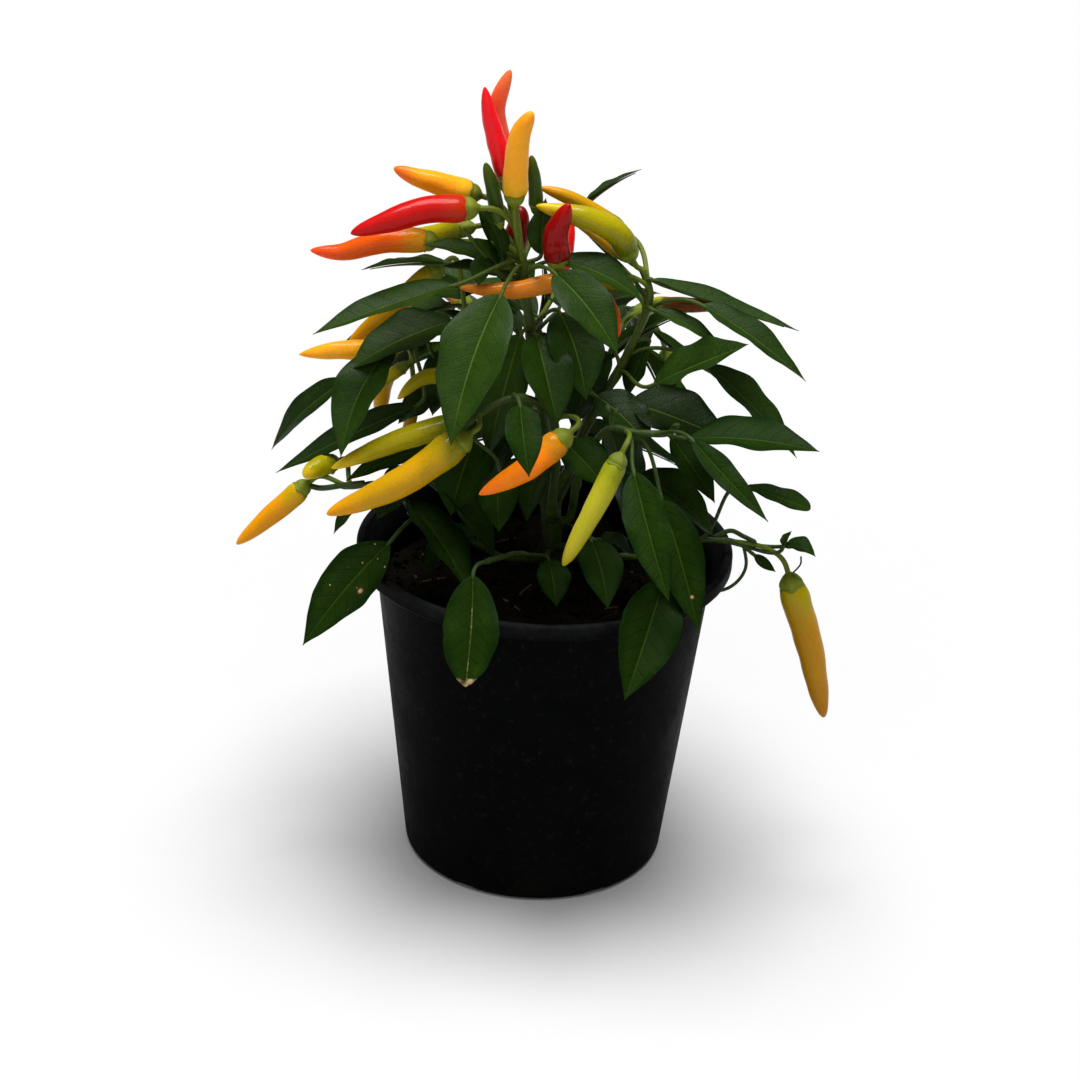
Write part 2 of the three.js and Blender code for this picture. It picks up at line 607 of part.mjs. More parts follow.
// The main stem's axis and radius at a height.
function stemAt(height) {
  const above = STEM_ROUTE.findIndex(([, , z]) => z >= height);
  const [low, high] = [above - 1, above].map((i) => new THREE.Vector3(...STEM_ROUTE[i]));
  const top = STEM_ROUTE[STEM_ROUTE.length - 1][2];
  const radius = THREE.MathUtils.mapLinear(Math.max(height, SOIL_TOP), SOIL_TOP, top, ...STEM_RADII);
  return { point: low.clone().lerp(high, (height - low.z) / (high.z - low.z)), radius };
}

// The spur on the main stem that carries a leafy stem: its fork point, direction and length.
function spurOf(shoot) {
  const { point, radius } = stemAt(shoot.forkHeight);
  const direction = new THREE.Vector3(...shoot.route[0]).sub(point).normalize();
  const lean = Math.max(Math.hypot(direction.x, direction.y), 0.6);
  return { point, direction, length: radius / lean + FORK_SPUR };
}

function mainStemSolid() {
  const points = STEM_ROUTE.map((p) => new THREE.Vector3(...p));
  const radii = STEM_ROUTE.map(([, , z]) => (z < SOIL_TOP ? STEM_RADII[0] : stemAt(z).radius));
  return SHOOTS.reduce((stem, shoot) => {
    const { point, direction, length } = spurOf(shoot);
    const end = point.clone().addScaledVector(direction, length);
    return stem.add(solidOf(tube([point, end], [1.3 * shoot.radii[0], 1.1 * shoot.radii[0]], SHOOT_SIDES)));
  }, solidOf(tube(points, radii, STEM_SIDES)));
}

// A leafy stem with its stalks, leaves and the caps of its chillies, all grown as one.
function shootSolid(shoot) {
  const { point, direction, length } = spurOf(shoot);
  const start = point.addScaledVector(direction, length + GAP);
  const stem = curveThrough([start.toArray(), ...shoot.route]);
  const steps = Math.ceil(stem.getLength() / SHOOT_STEP);
  const stemTube = tube(
    stem.getSpacedPoints(steps),
    Array.from({ length: steps + 1 }, (_, i) => THREE.MathUtils.lerp(...shoot.radii, i / steps)),
    SHOOT_SIDES,
  );
  return [
    ...shoot.leaves.map((one) => leafBody(stem, one)),
    ...shoot.chillies.map((pod) => pedicel(stem, pod)),
  ].reduce((whole, geometry) => whole.add(solidOf(geometry)), solidOf(stemTube));
}

// ---- the assembly ----
function piece(name, geometry, color, roughness) {
  const mesh = new THREE.Mesh(geometry, new THREE.MeshStandardMaterial({ color, roughness, metalness: 0 }));
  mesh.name = name;
  return mesh;
}

const plant = new THREE.Group();
plant.add(piece("pot", geometryOf(potSolid()), POT_BLACK, 0.45));
plant.add(piece("soil", geometryOf(soilSolid()), SOIL_BROWN, 0.95));
plant.add(piece("main_stem", geometryOf(mainStemSolid()), STEM_GREEN, 0.7));
for (const shoot of SHOOTS) {
  plant.add(piece(`shoot_${shoot.name}`, geometryOf(shootSolid(shoot)), LEAF_GREEN, 0.5));
  shoot.chillies.forEach((pod, i) => {
    plant.add(piece(`chilli_${shoot.name}_${i + 1}`, chilliBody(pod), pod.colour, 0.25));
  });
}

export default plant;
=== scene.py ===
"""A chilli pepper plant in a black nursery pot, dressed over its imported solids. Metres, +Z up, front -Y."""

import bpy
import numpy as np
from mathutils import Matrix, Vector


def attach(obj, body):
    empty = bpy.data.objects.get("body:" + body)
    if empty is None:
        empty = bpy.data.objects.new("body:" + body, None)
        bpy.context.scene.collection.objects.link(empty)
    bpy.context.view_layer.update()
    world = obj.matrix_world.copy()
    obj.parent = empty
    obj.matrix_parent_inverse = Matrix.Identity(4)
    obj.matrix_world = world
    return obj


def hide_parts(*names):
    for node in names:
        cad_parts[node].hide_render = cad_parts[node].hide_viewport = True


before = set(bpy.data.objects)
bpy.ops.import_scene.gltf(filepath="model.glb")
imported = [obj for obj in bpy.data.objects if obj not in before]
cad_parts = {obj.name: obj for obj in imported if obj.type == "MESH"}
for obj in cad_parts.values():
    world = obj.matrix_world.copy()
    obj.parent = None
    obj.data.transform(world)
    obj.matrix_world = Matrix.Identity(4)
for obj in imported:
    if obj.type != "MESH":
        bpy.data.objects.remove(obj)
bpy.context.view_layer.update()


# ---- Pot ----
# A black nursery pot of polypropylene, moulded in one piece: a thin tapered wall with faint ribs inside, a
# thick rolled lip, a foot with shallow notches, and six drainage holes through its floor.
POT_HEIGHT = .154
LIP_RADIUS = .085
LIP_UNDER = .1465
LIP_INNER_RADIUS = .081
LIP_ROUND = .0018
BODY_TOP = .1435
BODY_TOP_RADIUS = .0762
FOOT_RADIUS = .0606
FOOT_ROUND = .0035
WALL = .0016
FLOOR = .003
POT_COLUMNS = 192
RIB_COUNT = 64
RIB_HEIGHT = .0004
NOTCH_COUNT = 6
NOTCH_HEIGHT = .0022
NOTCH_HALF_ANGLE = .075
DRAIN_RADIUS = .0045
DRAIN_CIRCLE = .044
DRAIN_SIDES = 32
SHARP_DEGREES = 50
POT_BLACK = (.0008, .0012, .0010, 1)
POT_WORN = (.0016, .0021, .0019, 1)
LIP_HIGHLIGHT_GREY = (.0100, .0110, .0105, 1)
DUST = (.050, .046, .038, 1)


def ring_faces(rows, columns):
    """Corner numbers for a stack of closed rings: a quad joins each point, the next one round it and the two
    above them. A fan of triangles closes each end to a pole, and the poles are numbered after the rings."""
    row, column = np.meshgrid(np.arange(rows - 1), np.arange(columns), indexing="ij")
    low, beside = row * columns + column, row * columns + (column + 1) % columns
    quads = np.stack([low, beside, beside + columns, low + columns], -1).reshape(-1, 4)
    around = np.arange(columns)
    after, top, pole = (around + 1) % columns, (rows - 1) * columns, rows * columns
    start_fan = np.stack([np.full(columns, pole), after, around], -1)
    end_fan = np.stack([np.full(columns, pole + 1), top + around, top + after], -1)
    return quads, np.concatenate([start_fan, end_fan])


def ring_part(rings, **looks):
    """A closed part from rows of rings (rows x columns x 3). A pole is the middle of the ring at its end, and
    each look, a value per ring point, is averaged there in the same way."""
    rows, columns = rings.shape[:2]
    layers = {"position": rings, **looks}
    flat = {}
    for name, values in layers.items():
        values = np.asarray(values, float)
        values = np.broadcast_to(values, (rows, columns, *values.shape[2:]))
        poles = [values[0].mean(0), values[-1].mean(0)]
        flat[name] = np.concatenate([values.reshape(rows * columns, *values.shape[2:]), poles])
    return flat, *ring_faces(rows, columns)


def new_piece(name, parts, material):
    """One smooth-shaded object from closed parts, its faces numbered on from part to part. Each look becomes
    a point attribute: one number or three."""
    starts = np.cumsum([0] + [len(flat["position"]) for flat, _, _ in parts])
    corners = [faces + start for start, part in zip(starts, parts) for faces in part[1:]]
    sizes = np.concatenate([np.full(len(faces), faces.shape[1]) for faces in corners])
    looks = {key: np.concatenate([flat[key] for flat, _, _ in parts]) for key in parts[0][0]}
    mesh = bpy.data.meshes.new(name)
    mesh.vertices.add(starts[-1])
    mesh.vertices.foreach_set("co", looks.pop("position").ravel())
    mesh.loops.add(sizes.sum())
    mesh.polygons.add(len(sizes))
    mesh.polygons.foreach_set("loop_start", np.cumsum(sizes) - sizes)
    mesh.polygons.foreach_set("vertices", np.concatenate([faces.ravel() for faces in corners]))
    mesh.polygons.foreach_set("use_smooth", np.ones(len(sizes), bool))
    for key, values in looks.items():
        kind, field = ("FLOAT", "value") if values.ndim == 1 else ("FLOAT_VECTOR", "vector")
        mesh.attributes.new(key, kind, "POINT").data.foreach_set(field, values.ravel())
    mesh.validate()
    mesh.materials.append(material)
    piece = bpy.data.objects.new(name, mesh)
    bpy.context.scene.collection.objects.link(piece)
    return piece


def turned(profile, columns, radius_change=0, height_change=0):
    """Rings of a profile of (radius, height) rows turned about +Z, with changes given per row and column."""
    angle = np.linspace(0, 2 * np.pi, columns, endpoint=False)
    radius = profile[:, :1] + radius_change + 0 * angle
    height = profile[:, 1:] + height_change + 0 * angle
    return np.stack([radius * np.cos(angle), radius * np.sin(angle), height], -1)


def corner_arc(middle, radius, start, end, steps=7):
    """Points of an arc about its middle, from one angle to another in degrees."""
    angle = np.radians(np.linspace(start, end, steps))
    return np.stack([middle[0] + radius * np.cos(angle), middle[1] + radius * np.sin(angle)], -1)


def straight(start, end, steps):
    """Evenly spaced points of a line, without its two ends."""
    share = np.linspace(0, 1, steps + 2)[1:-1, None]
    return np.array(start) + share * (np.array(end) - np.array(start))


def smooth_step(low, high, value):
    """0 below low, 1 above high, and the cubic 3s^2 - 2s^3 between."""
    share = np.clip((value - low) / (high - low), 0, 1)
    return share * share * (3 - 2 * share)


def wire(tree, socket, value):
    """Links the socket to an output, or sets it to a value."""
    if isinstance(value, bpy.types.NodeSocket):
        tree.links.new(value, socket)
    else:
        socket.default_value = value


def add_node(tree, kind, inputs, **settings):
    """A shader node with its settings, and its inputs given by name or number."""
    made = tree.nodes.new("ShaderNode" + kind)
    for name, value in settings.items():
        setattr(made, name, value)
    for name, value in inputs.items():
        wire(tree, made.inputs[name], value)
    return made


def calculate(tree, operation, *values):
    """The result of a Math node."""
    return add_node(tree, "Math", dict(enumerate(values)), operation=operation).outputs[0]


def mask(tree, value, low, high, start=0, end=1):
    """A smooth change from start to end while the value goes from low to high."""
    inputs = {"Value": value, "From Min": low, "From Max": high, "To Min": start, "To Max": end}
    return add_node(tree, "MapRange", inputs, interpolation_type="SMOOTHSTEP").outputs[0]


def mix_colours(tree, share, first, second, blend="MIX"):
    """The first colour where the share is 0 and the second where it is 1."""
    made = add_node(tree, "Mix", {0: share, 6: first, 7: second}, data_type="RGBA", blend_type=blend)
    return made.outputs[2]


def noise(tree, place, scale, detail=3):
    """Noise about 0.5 at a place."""
    inputs = {"Vector": place, "Scale": scale, "Detail": detail}
    return add_node(tree, "TexNoise", inputs).outputs["Fac"]


def attribute(tree, name):
    """The outputs of a point attribute."""
    return add_node(tree, "Attribute", {}, attribute_name=name).outputs


def object_place(tree):
    """Object coordinates."""
    return add_node(tree, "TexCoord", {}).outputs["Object"]


def new_effect(name, takes, gives):
    """An empty shader node group, its input outputs and its output inputs. takes and gives are lists of a
    socket's name, kind and, for an input, value."""
    tree = bpy.data.node_groups.new(name, "ShaderNodeTree")
    for label, kind, value in takes:
        made = tree.interface.new_socket(label, in_out="INPUT", socket_type="NodeSocket" + kind)
        made.default_value = value
    for label, kind in gives:
        tree.interface.new_socket(label, in_out="OUTPUT", socket_type="NodeSocket" + kind)
    return tree, tree.nodes.new("NodeGroupInput").outputs, tree.nodes.new("NodeGroupOutput").inputs


def use_effect(tree, effect, **inputs):
    """The outputs of an effect placed in a material, its inputs named with _ for each space."""
    made = tree.nodes.new("ShaderNodeGroup")
    made.node_tree = effect
    for name, value in inputs.items():
        wire(tree, made.inputs[name.replace("_", " ")], value)
    return made.outputs


def new_material(name, **constants):
    """A material, its tree and its shader's inputs, with the shader's constant values set on its sockets."""
    material = bpy.data.materials.new(name)
    material.use_nodes = True
    tree = material.node_tree
    inputs = tree.nodes["Principled BSDF"].inputs
    for label, value in constants.items():
        inputs[label.replace("_", " ")].default_value = value
    return material, tree, inputs


def bump(tree, height, distance, strength=1):
    """A normal from a height map."""
    inputs = {"Height": height, "Distance": distance, "Strength": strength}
    return add_node(tree, "Bump", inputs).outputs[0]


def mottle_effect():
    """Uneven tone: coarse and fine noise in one mask, 0 to 1 about the middle."""
    takes = [("Place", "Vector", (0, 0, 0)), ("Size", "Float", .01), ("Contrast", "Float", 1)]
    tree, given, out = new_effect("mottle", takes, [("Mask", "Float")])
    coarse = noise(tree, given["Place"], calculate(tree, "DIVIDE", 1, given["Size"]), 4)
    fine = noise(tree, given["Place"], calculate(tree, "DIVIDE", 7, given["Size"]), 2)
    both = calculate(tree, "MULTIPLY_ADD", fine, .35, calculate(tree, "MULTIPLY", coarse, .65))
    spread = calculate(tree, "MULTIPLY_ADD", calculate(tree, "SUBTRACT", both, .5), given["Contrast"], .5)
    wire(tree, out["Mask"], add_node(tree, "Clamp", {0: spread}).outputs[0])
    return tree


MOTTLE = mottle_effect()


def pot_plastic():
    """Black polypropylene: greyer where it is rubbed, with a painted highlight along the top of its lip, a
    thin film of dried dust and a fine grain.
    """
    material, tree, shader = new_material("black_polypropylene", Specular_IOR_Level=.01)
    place = object_place(tree)
    height = add_node(tree, "SeparateXYZ", {0: place}).outputs[2]
    rubbed = use_effect(tree, MOTTLE, Place=place, Size=.03, Contrast=3)["Mask"]
    specks = mask(tree, use_effect(tree, MOTTLE, Place=place, Size=.0035, Contrast=4)["Mask"], .86, .98)
    splash = mask(tree, height, .05, .0)
    patchy = use_effect(tree, MOTTLE, Place=place, Size=.018, Contrast=3)["Mask"]
    film = calculate(tree, "MULTIPLY", patchy, calculate(tree, "MULTIPLY_ADD", splash, .05, .015))
    dusty = calculate(tree, "MAXIMUM", film, calculate(tree, "MULTIPLY", specks, .10))
    plastic = mix_colours(tree, rubbed, POT_BLACK, POT_WORN)
    # Painted highlight: the top of the lip is mixed towards a lighter grey, broken up by the rubbed mask.
    lip_highlight = calculate(tree, "MULTIPLY", mask(tree, height, .146, .153), mask(tree, rubbed, -.4, 1))
    plastic = mix_colours(tree, lip_highlight, plastic, LIP_HIGHLIGHT_GREY)
    wire(tree, shader["Base Color"], mix_colours(tree, dusty, plastic, DUST))
    wire(tree, shader["Roughness"], mask(tree, rubbed, 0, 1, .42, .58))
    wire(tree, shader["Normal"], bump(tree, noise(tree, place, 900, 2), .00006))
    return material


def wall_radius(height):
    """The inner radius of the straight wall at a height."""
    slope = (BODY_TOP_RADIUS - FOOT_RADIUS) / (BODY_TOP - FOOT_ROUND)
    return FOOT_RADIUS + slope * (height - FOOT_ROUND) - WALL


def pot_profile():
    """The pot's outline from the middle underneath, out and up, over the rolled lip and down inside."""
    under, top, inner, roll = LIP_UNDER, POT_HEIGHT, LIP_INNER_RADIUS, LIP_ROUND
    floor_radius = wall_radius(FLOOR + FOOT_ROUND) - FOOT_ROUND
    return np.concatenate([
        [(.001, 0)],
        straight((.001, 0), (FOOT_RADIUS - FOOT_ROUND, 0), 24),
        corner_arc((FOOT_RADIUS - FOOT_ROUND, FOOT_ROUND), FOOT_ROUND, -90, 0, 9),
        straight((FOOT_RADIUS, FOOT_ROUND), (BODY_TOP_RADIUS, BODY_TOP), 40),
        [(BODY_TOP_RADIUS, BODY_TOP), (BODY_TOP_RADIUS + .0002, BODY_TOP + .0012)],
        corner_arc((BODY_TOP_RADIUS + .0028, BODY_TOP + .0012), .0026, 180, 95, 6),
        corner_arc((LIP_RADIUS - roll, under + roll), roll, -90, 0),
        corner_arc((LIP_RADIUS - roll, top - roll), roll, 0, 90),
        corner_arc((inner + roll, top - roll), roll, 90, 180),
        [(BODY_TOP_RADIUS + .0008, under + .0012), (BODY_TOP_RADIUS - .0008, under + .0003)],
        straight((BODY_TOP_RADIUS - WALL, under), (floor_radius + FOOT_ROUND, FLOOR + FOOT_ROUND), 48),
        corner_arc((floor_radius, FLOOR + FOOT_ROUND), FOOT_ROUND, 0, -90),
        straight((floor_radius, FLOOR), (.001, FLOOR), 12),
        [(.001, FLOOR)],
    ])


def pot_rings():
    """The turned outline. Ribs raise the inner wall by a raised cosine of the angle, and the notches lift the
    foot's underside by a smooth step on both sides of each one."""
    profile = pot_profile()
    radius, height = profile[:, :1], profile[:, 1:]
    angle = np.linspace(0, 2 * np.pi, POT_COLUMNS, endpoint=False)
    inside = radius < wall_radius(height) + WALL / 2
    upright = smooth_step(.01, .02, height) * smooth_step(LIP_UNDER, BODY_TOP, height)
    ribs = RIB_HEIGHT * np.clip(np.cos(RIB_COUNT * angle), 0, 1) ** 2
    turn = 2 * np.pi / NOTCH_COUNT
    from_notch = np.abs((angle + turn / 2) % turn - turn / 2)
    notch = 1 - smooth_step(.7 * NOTCH_HALF_ANGLE, NOTCH_HALF_ANGLE, from_notch)
    rim = smooth_step(FOOT_RADIUS - .0075, FOOT_RADIUS - .006, radius)
    lift = rim * notch * np.clip(NOTCH_HEIGHT - height, 0, NOTCH_HEIGHT)
    return turned(profile, POT_COLUMNS, -ribs * inside * upright, lift)


def drain_cutter(material):
    """Six upright rods, one through the floor for each drainage hole."""
    angle = np.linspace(0, 2 * np.pi, DRAIN_SIDES, endpoint=False)
    rods = []
    for turn in (np.arange(NOTCH_COUNT) + .5) * 2 * np.pi / NOTCH_COUNT:
        x = DRAIN_CIRCLE * np.cos(turn) + DRAIN_RADIUS * np.cos(angle)
        y = DRAIN_CIRCLE * np.sin(turn) + DRAIN_RADIUS * np.sin(angle)
        levels = np.array([-FLOOR, 2 * FLOOR])[:, None]
        rods.append(ring_part(np.stack([x + 0 * levels, y + 0 * levels, levels + 0 * x], -1)))
    return new_piece("drain_cutter", rods, material)


POT_PLASTIC = pot_plastic()
pot = new_piece("pot_shell", [ring_part(pot_rings())], POT_PLASTIC)
cutter = drain_cutter(POT_PLASTIC)
cut = pot.modifiers.new("drain_holes", "BOOLEAN")
cut.operation = "DIFFERENCE"
cut.solver = "EXACT"
cut.object = cutter
bpy.context.view_layer.update()
drained = bpy.data.meshes.new_from_object(pot.evaluated_get(bpy.context.evaluated_depsgraph_get()))
pot.modifiers.clear()
pot.data = drained
drained.set_sharp_from_angle(angle=np.radians(SHARP_DEGREES))
bpy.data.objects.remove(cutter)
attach(pot, "root")
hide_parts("pot")


# ---- Soil ----
# Dark, damp potting mix that fills the pot to a little under its lip. It is pressed round the stem's foot in
# a low mound, and crumbs, grit, chips of bark and bits of dry stalk lie on it.
SOIL_TOP = .132
STEM_MIDDLE = .004
STEM_HOLE_RADIUS = .0049
STEM_FOOT = .0917
SOIL_GAP = .0009
CLOD_HEIGHT = .0018
MOUND_HEIGHT = .003
MOUND_RADIUS = .022
SOIL_COLUMNS = 240
SOIL_ROWS = 90
SOIL_DARK = (.0022, .0015, .0010, 1)
SOIL_LIGHT = (.0080, .0058, .0026, 1)
BARK_BROWN = (.020, .013, .0060, 1)
STRAW = (.170, .125, .066, 1)
STONE = (.140, .125, .105, 1)
STRAWS = (
    (-.0496, -.0042, 4, .0130, .0006), (-.0137, -.0257, -34, .0094, .0005),
    (-.0080, -.0120, 40, .0070, .0005), (.0310, -.0240, 12, .0060, .0005),
    (-.0330, -.0480, -50, .0090, .0004), (.0180, -.0560, 64, .0110, .0005),
    (.0295, -.0058, 70, .0080, .0005), (-.0200, .0400, 30, .0140, .0006),
    (.0350, .0420, -20, .0100, .0005), (-.0560, .0250, 70, .0090, .0004),
    (.0080, .0620, 8, .0120, .0005),
)
STRAW_SIDES = 8
STRAW_BEND = .04
CRUMB_SPREAD = .072
CRUMB_LEVELS = (-.6, .05, .65)


def wave_noise(place, size, seed):
    """Uneven height, mostly from -1 to 1: 2.5 times the mean of twelve sine waves in seeded directions, with
    wavelengths from 0.7 to 2.2 times the size."""
    draw = np.random.default_rng(seed)
    direction = draw.normal(size=(place.shape[-1], 12))
    direction = direction / np.linalg.norm(direction, axis=0)
    wavelength = size * draw.uniform(.7, 2.2, 12)
    wave = np.sin(2 * np.pi * (place @ direction) / wavelength + draw.uniform(0, 2 * np.pi, 12))
    return 2.5 * wave.mean(-1)


def soil_height(x, y):
    """The soil's height: a Gaussian mound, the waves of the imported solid, and two sizes of crumb relief."""
    mound = MOUND_HEIGHT * np.exp(-(x**2 + y**2) / MOUND_RADIUS**2)
    wave = np.sin(230 * x + 1.4 * np.sin(110 * y)) * np.cos(190 * y + .9 * np.sin(130 * x))
    place = np.stack([x, y], -1)
    crumbs = .0008 * wave_noise(place, .008, 3) + .0006 * wave_noise(place, .0035, 4)
    return SOIL_TOP + mound + CLOD_HEIGHT * wave + crumbs


def soil_rings():
    """Rings out under the bottom and up along the pot's wall, then inwards over the surface to the stem,
    while their middle moves from the pot's axis to the stem's, and down the hole round the stem."""
    angle = np.linspace(0, 2 * np.pi, SOIL_COLUMNS, endpoint=False)
    side = np.array([FLOOR + FOOT_ROUND, .05, .09, .12])
    wall = wall_radius(side) - SOIL_GAP
    bottom = [(.02, FLOOR + SOIL_GAP), (wall_radius(FLOOR) - FOOT_ROUND, FLOOR + SOIL_GAP)]
    outer = turned(np.concatenate([bottom, np.stack([wall, side], -1)]), SOIL_COLUMNS)
    share = np.linspace(1, 0, SOIL_ROWS)[:, None]
    radius = STEM_HOLE_RADIUS + share * (wall_radius(SOIL_TOP) - SOIL_GAP - STEM_HOLE_RADIUS)
    x = STEM_MIDDLE * (1 - share) + radius * np.cos(angle)
    y = radius * np.sin(angle)
    surface = np.stack([x, y, soil_height(x, y)], -1)
    hole = turned(np.array([(STEM_HOLE_RADIUS, z) for z in (.125, .11, STEM_FOOT)]), SOIL_COLUMNS)
    return np.concatenate([outer, surface, hole + np.array([STEM_MIDDLE, 0, 0])])


def soil_material(name, dark, light, grain):
    """Damp organic matter: patchy brown, rough, and grainy at the given size."""
    material, tree, shader = new_material(name, Roughness=.95, Specular_IOR_Level=.08)
    place = object_place(tree)
    patch = use_effect(tree, MOTTLE, Place=place, Size=grain, Contrast=3)["Mask"]
    wire(tree, shader["Base Color"], mix_colours(tree, patch, dark, light))
    wire(tree, shader["Normal"], bump(tree, noise(tree, place, 3 / grain, 4), .0006))
    return material


def unit(vectors):
    """Vectors divided by their lengths."""
    return vectors / np.linalg.norm(vectors, axis=-1, keepdims=True)


def tube_rings(path, radii, sides):
    """Rings round a path, with radii per row or per row and side. across is the direction in which the path
    varies least, made square to the path at each point, and aside is along x across."""
    along = unit(np.gradient(path, axis=0))
    flattest = np.linalg.svd(path - path.mean(0))[2][-1]
    across = unit(flattest - (along @ flattest)[:, None] * along)
    aside = np.cross(along, across)
    angle = np.linspace(0, 2 * np.pi, sides, endpoint=False)[:, None]
    spoke = across[:, None] * np.cos(angle) + aside[:, None] * np.sin(angle)
    return path[:, None] + np.broadcast_to(radii, (len(path), sides))[..., None] * spoke


def straw_parts():
    """Bits of dry stalk: tubes that lie along the line fitted to the soil's height under them, each arched by
    a cosine along it. A straw is its middle, turn in degrees, length and radius."""
    parts = []
    for x, y, turn, length, radius in STRAWS:
        run = np.linspace(-.5, .5, 12) * length
        bits_x, bits_y = x + run * np.cos(np.radians(turn)), y + run * np.sin(np.radians(turn))
        height = np.polyval(np.polyfit(run, soil_height(bits_x, bits_y), 1), run) + radius
        path = np.stack([bits_x, bits_y, height + STRAW_BEND * length * np.cos(3 * run / length)], -1)
        parts.append(ring_part(tube_rings(path, radius, STRAW_SIDES)))
    return parts


def lump_parts(count, sizes, stretch, seed):
    """Crumbs lying on the soil: three rings of six points each, pulled about by a seeded share, stretched
    and turned, with the middle raised over the soil by 0.3 of the size."""
    draw = np.random.default_rng(seed)
    angle = np.linspace(0, 2 * np.pi, 6, endpoint=False)
    level = np.array(CRUMB_LEVELS)[:, None]
    width = np.sqrt(1 - level**2)
    ball = np.stack([width * np.cos(angle), width * np.sin(angle), level + 0 * angle], -1)
    parts = []
    for _ in range(count):
        far, turn = CRUMB_SPREAD * np.sqrt(draw.uniform(.01, 1)), draw.uniform(0, 2 * np.pi)
        x, y = far * np.cos(turn), far * np.sin(turn)
        size = draw.uniform(*sizes)
        shape = ball * draw.uniform(.75, 1.25, ball.shape) * size * np.array(stretch)
        spin = np.linalg.qr(draw.normal(size=(3, 3)))[0]
        spin[:, 0] *= np.linalg.det(spin)
        height = soil_height(np.array(x), np.array(y)) + .3 * size
        parts.append(ring_part(shape @ spin.T + np.array([x, y, height])))
    return parts


SOIL = soil_material("potting_mix", SOIL_DARK, SOIL_LIGHT, .004)
BARK = soil_material("bark_chips", SOIL_DARK, BARK_BROWN, .003)
PEBBLE = soil_material("grit", BARK_BROWN, STONE, .002)
DRY_STALK = soil_material("dry_stalk", BARK_BROWN, STRAW, .0012)
soil_pieces = [
    new_piece("soil_block", [ring_part(soil_rings())], SOIL),
    new_piece("soil_crumbs", lump_parts(420, (.0006, .0022), (1, 1, .8), 11), SOIL),
    new_piece("soil_bark", lump_parts(90, (.0012, .0032), (1.4, .8, .3), 12), BARK),
    new_piece("soil_grit", lump_parts(26, (.0004, .0011), (1, 1, .8), 13), PEBBLE),
    new_piece("soil_straws", straw_parts(), DRY_STALK),
]
for piece in soil_pieces:
    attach(piece, "root")
    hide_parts("soil")


# ---- Main stem ----
# One green-brown stem that turns woody at its foot, where it leaves the soil, with a short spur for each
# leafy stem. Its skin is ribbed lengthwise, and it swells a little at every fork.
STEM_ROUTE = [
    (.004, 0, .092), (.004, 0, .118), (.004, 0, .140),
    (.003, -.001, .158), (.001, -.001, .174), (0, -.001, .188),
]
STEM_RADII = (.0044, .0032)
STEM_ROWS = 90
STEM_SIDES = 30
ROOT_FLARE = .0012
FORK_SWELLING = .0004
SPUR_ROWS = 14
SPUR_SIDES = 16
FORK_SPUR = .0035
SOLID_GAP = .0003
SPAN_STEPS = 32
STALK_DARK = (.010, .024, .003, 1)
STALK_GREEN = (.028, .055, .006, 1)
STALK_LIGHT = (.070, .115, .012, 1)
CORK_DARK = (.016, .014, .007, 1)
CORK_LIGHT = (.060, .050, .027, 1)


def curve_through(points):
    """A dense path through the points and the length run along it. Each span is the cubic whose slope at a
    point is half the chord between the points before and after it, and the end chords are carried on."""
    knots = np.array(points, float)
    knots = np.concatenate([[2 * knots[0] - knots[1]], knots, [2 * knots[-1] - knots[-2]]])
    before, start, end, after = knots[:-3], knots[1:-2], knots[2:-1], knots[3:]
    share = np.linspace(0, 1, SPAN_STEPS, endpoint=False)[:, None, None]
    square = share**2 * (before - 2.5 * start + 2 * end - .5 * after)
    cube = share**3 * (-.5 * before + 1.5 * start - 1.5 * end + .5 * after)
    spans = start + .5 * share * (end - before) + square + cube
    path = np.concatenate([spans.transpose(1, 0, 2).reshape(-1, 3), knots[-2:-1]])
    run = np.concatenate([[0], np.cumsum(np.linalg.norm(np.diff(path, axis=0), axis=1))])
    return path, run


def point_at(curve, share):
    """Points at shares of the curve's length."""
    path, run = curve
    return np.stack([np.interp(np.asarray(share) * run[-1], run, path[:, axis]) for axis in range(3)], -1)


def heading_at(curve, share):
    """The curve's direction at shares of its length."""
    share = np.clip(share, .01, .99)
    return unit(point_at(curve, share + .01) - point_at(curve, share - .01))


def stem_at(height):
    """The main stem's middle and radius at a height."""
    route = np.array(STEM_ROUTE)
    middle = np.array([np.interp(height, route[:, 2], route[:, axis]) for axis in range(3)])
    return middle, np.interp(height, (SOIL_TOP, route[-1, 2]), STEM_RADII)


def spur_of(fork, first_point, stem_radius):
    """Where a leafy stem forks off, its direction, and how far its spur reaches out of the main stem."""
    middle, radius = stem_at(fork)
    direction = unit(np.array(first_point) - middle)
    return middle, direction, radius / max(np.hypot(direction[0], direction[1]), .6) + FORK_SPUR


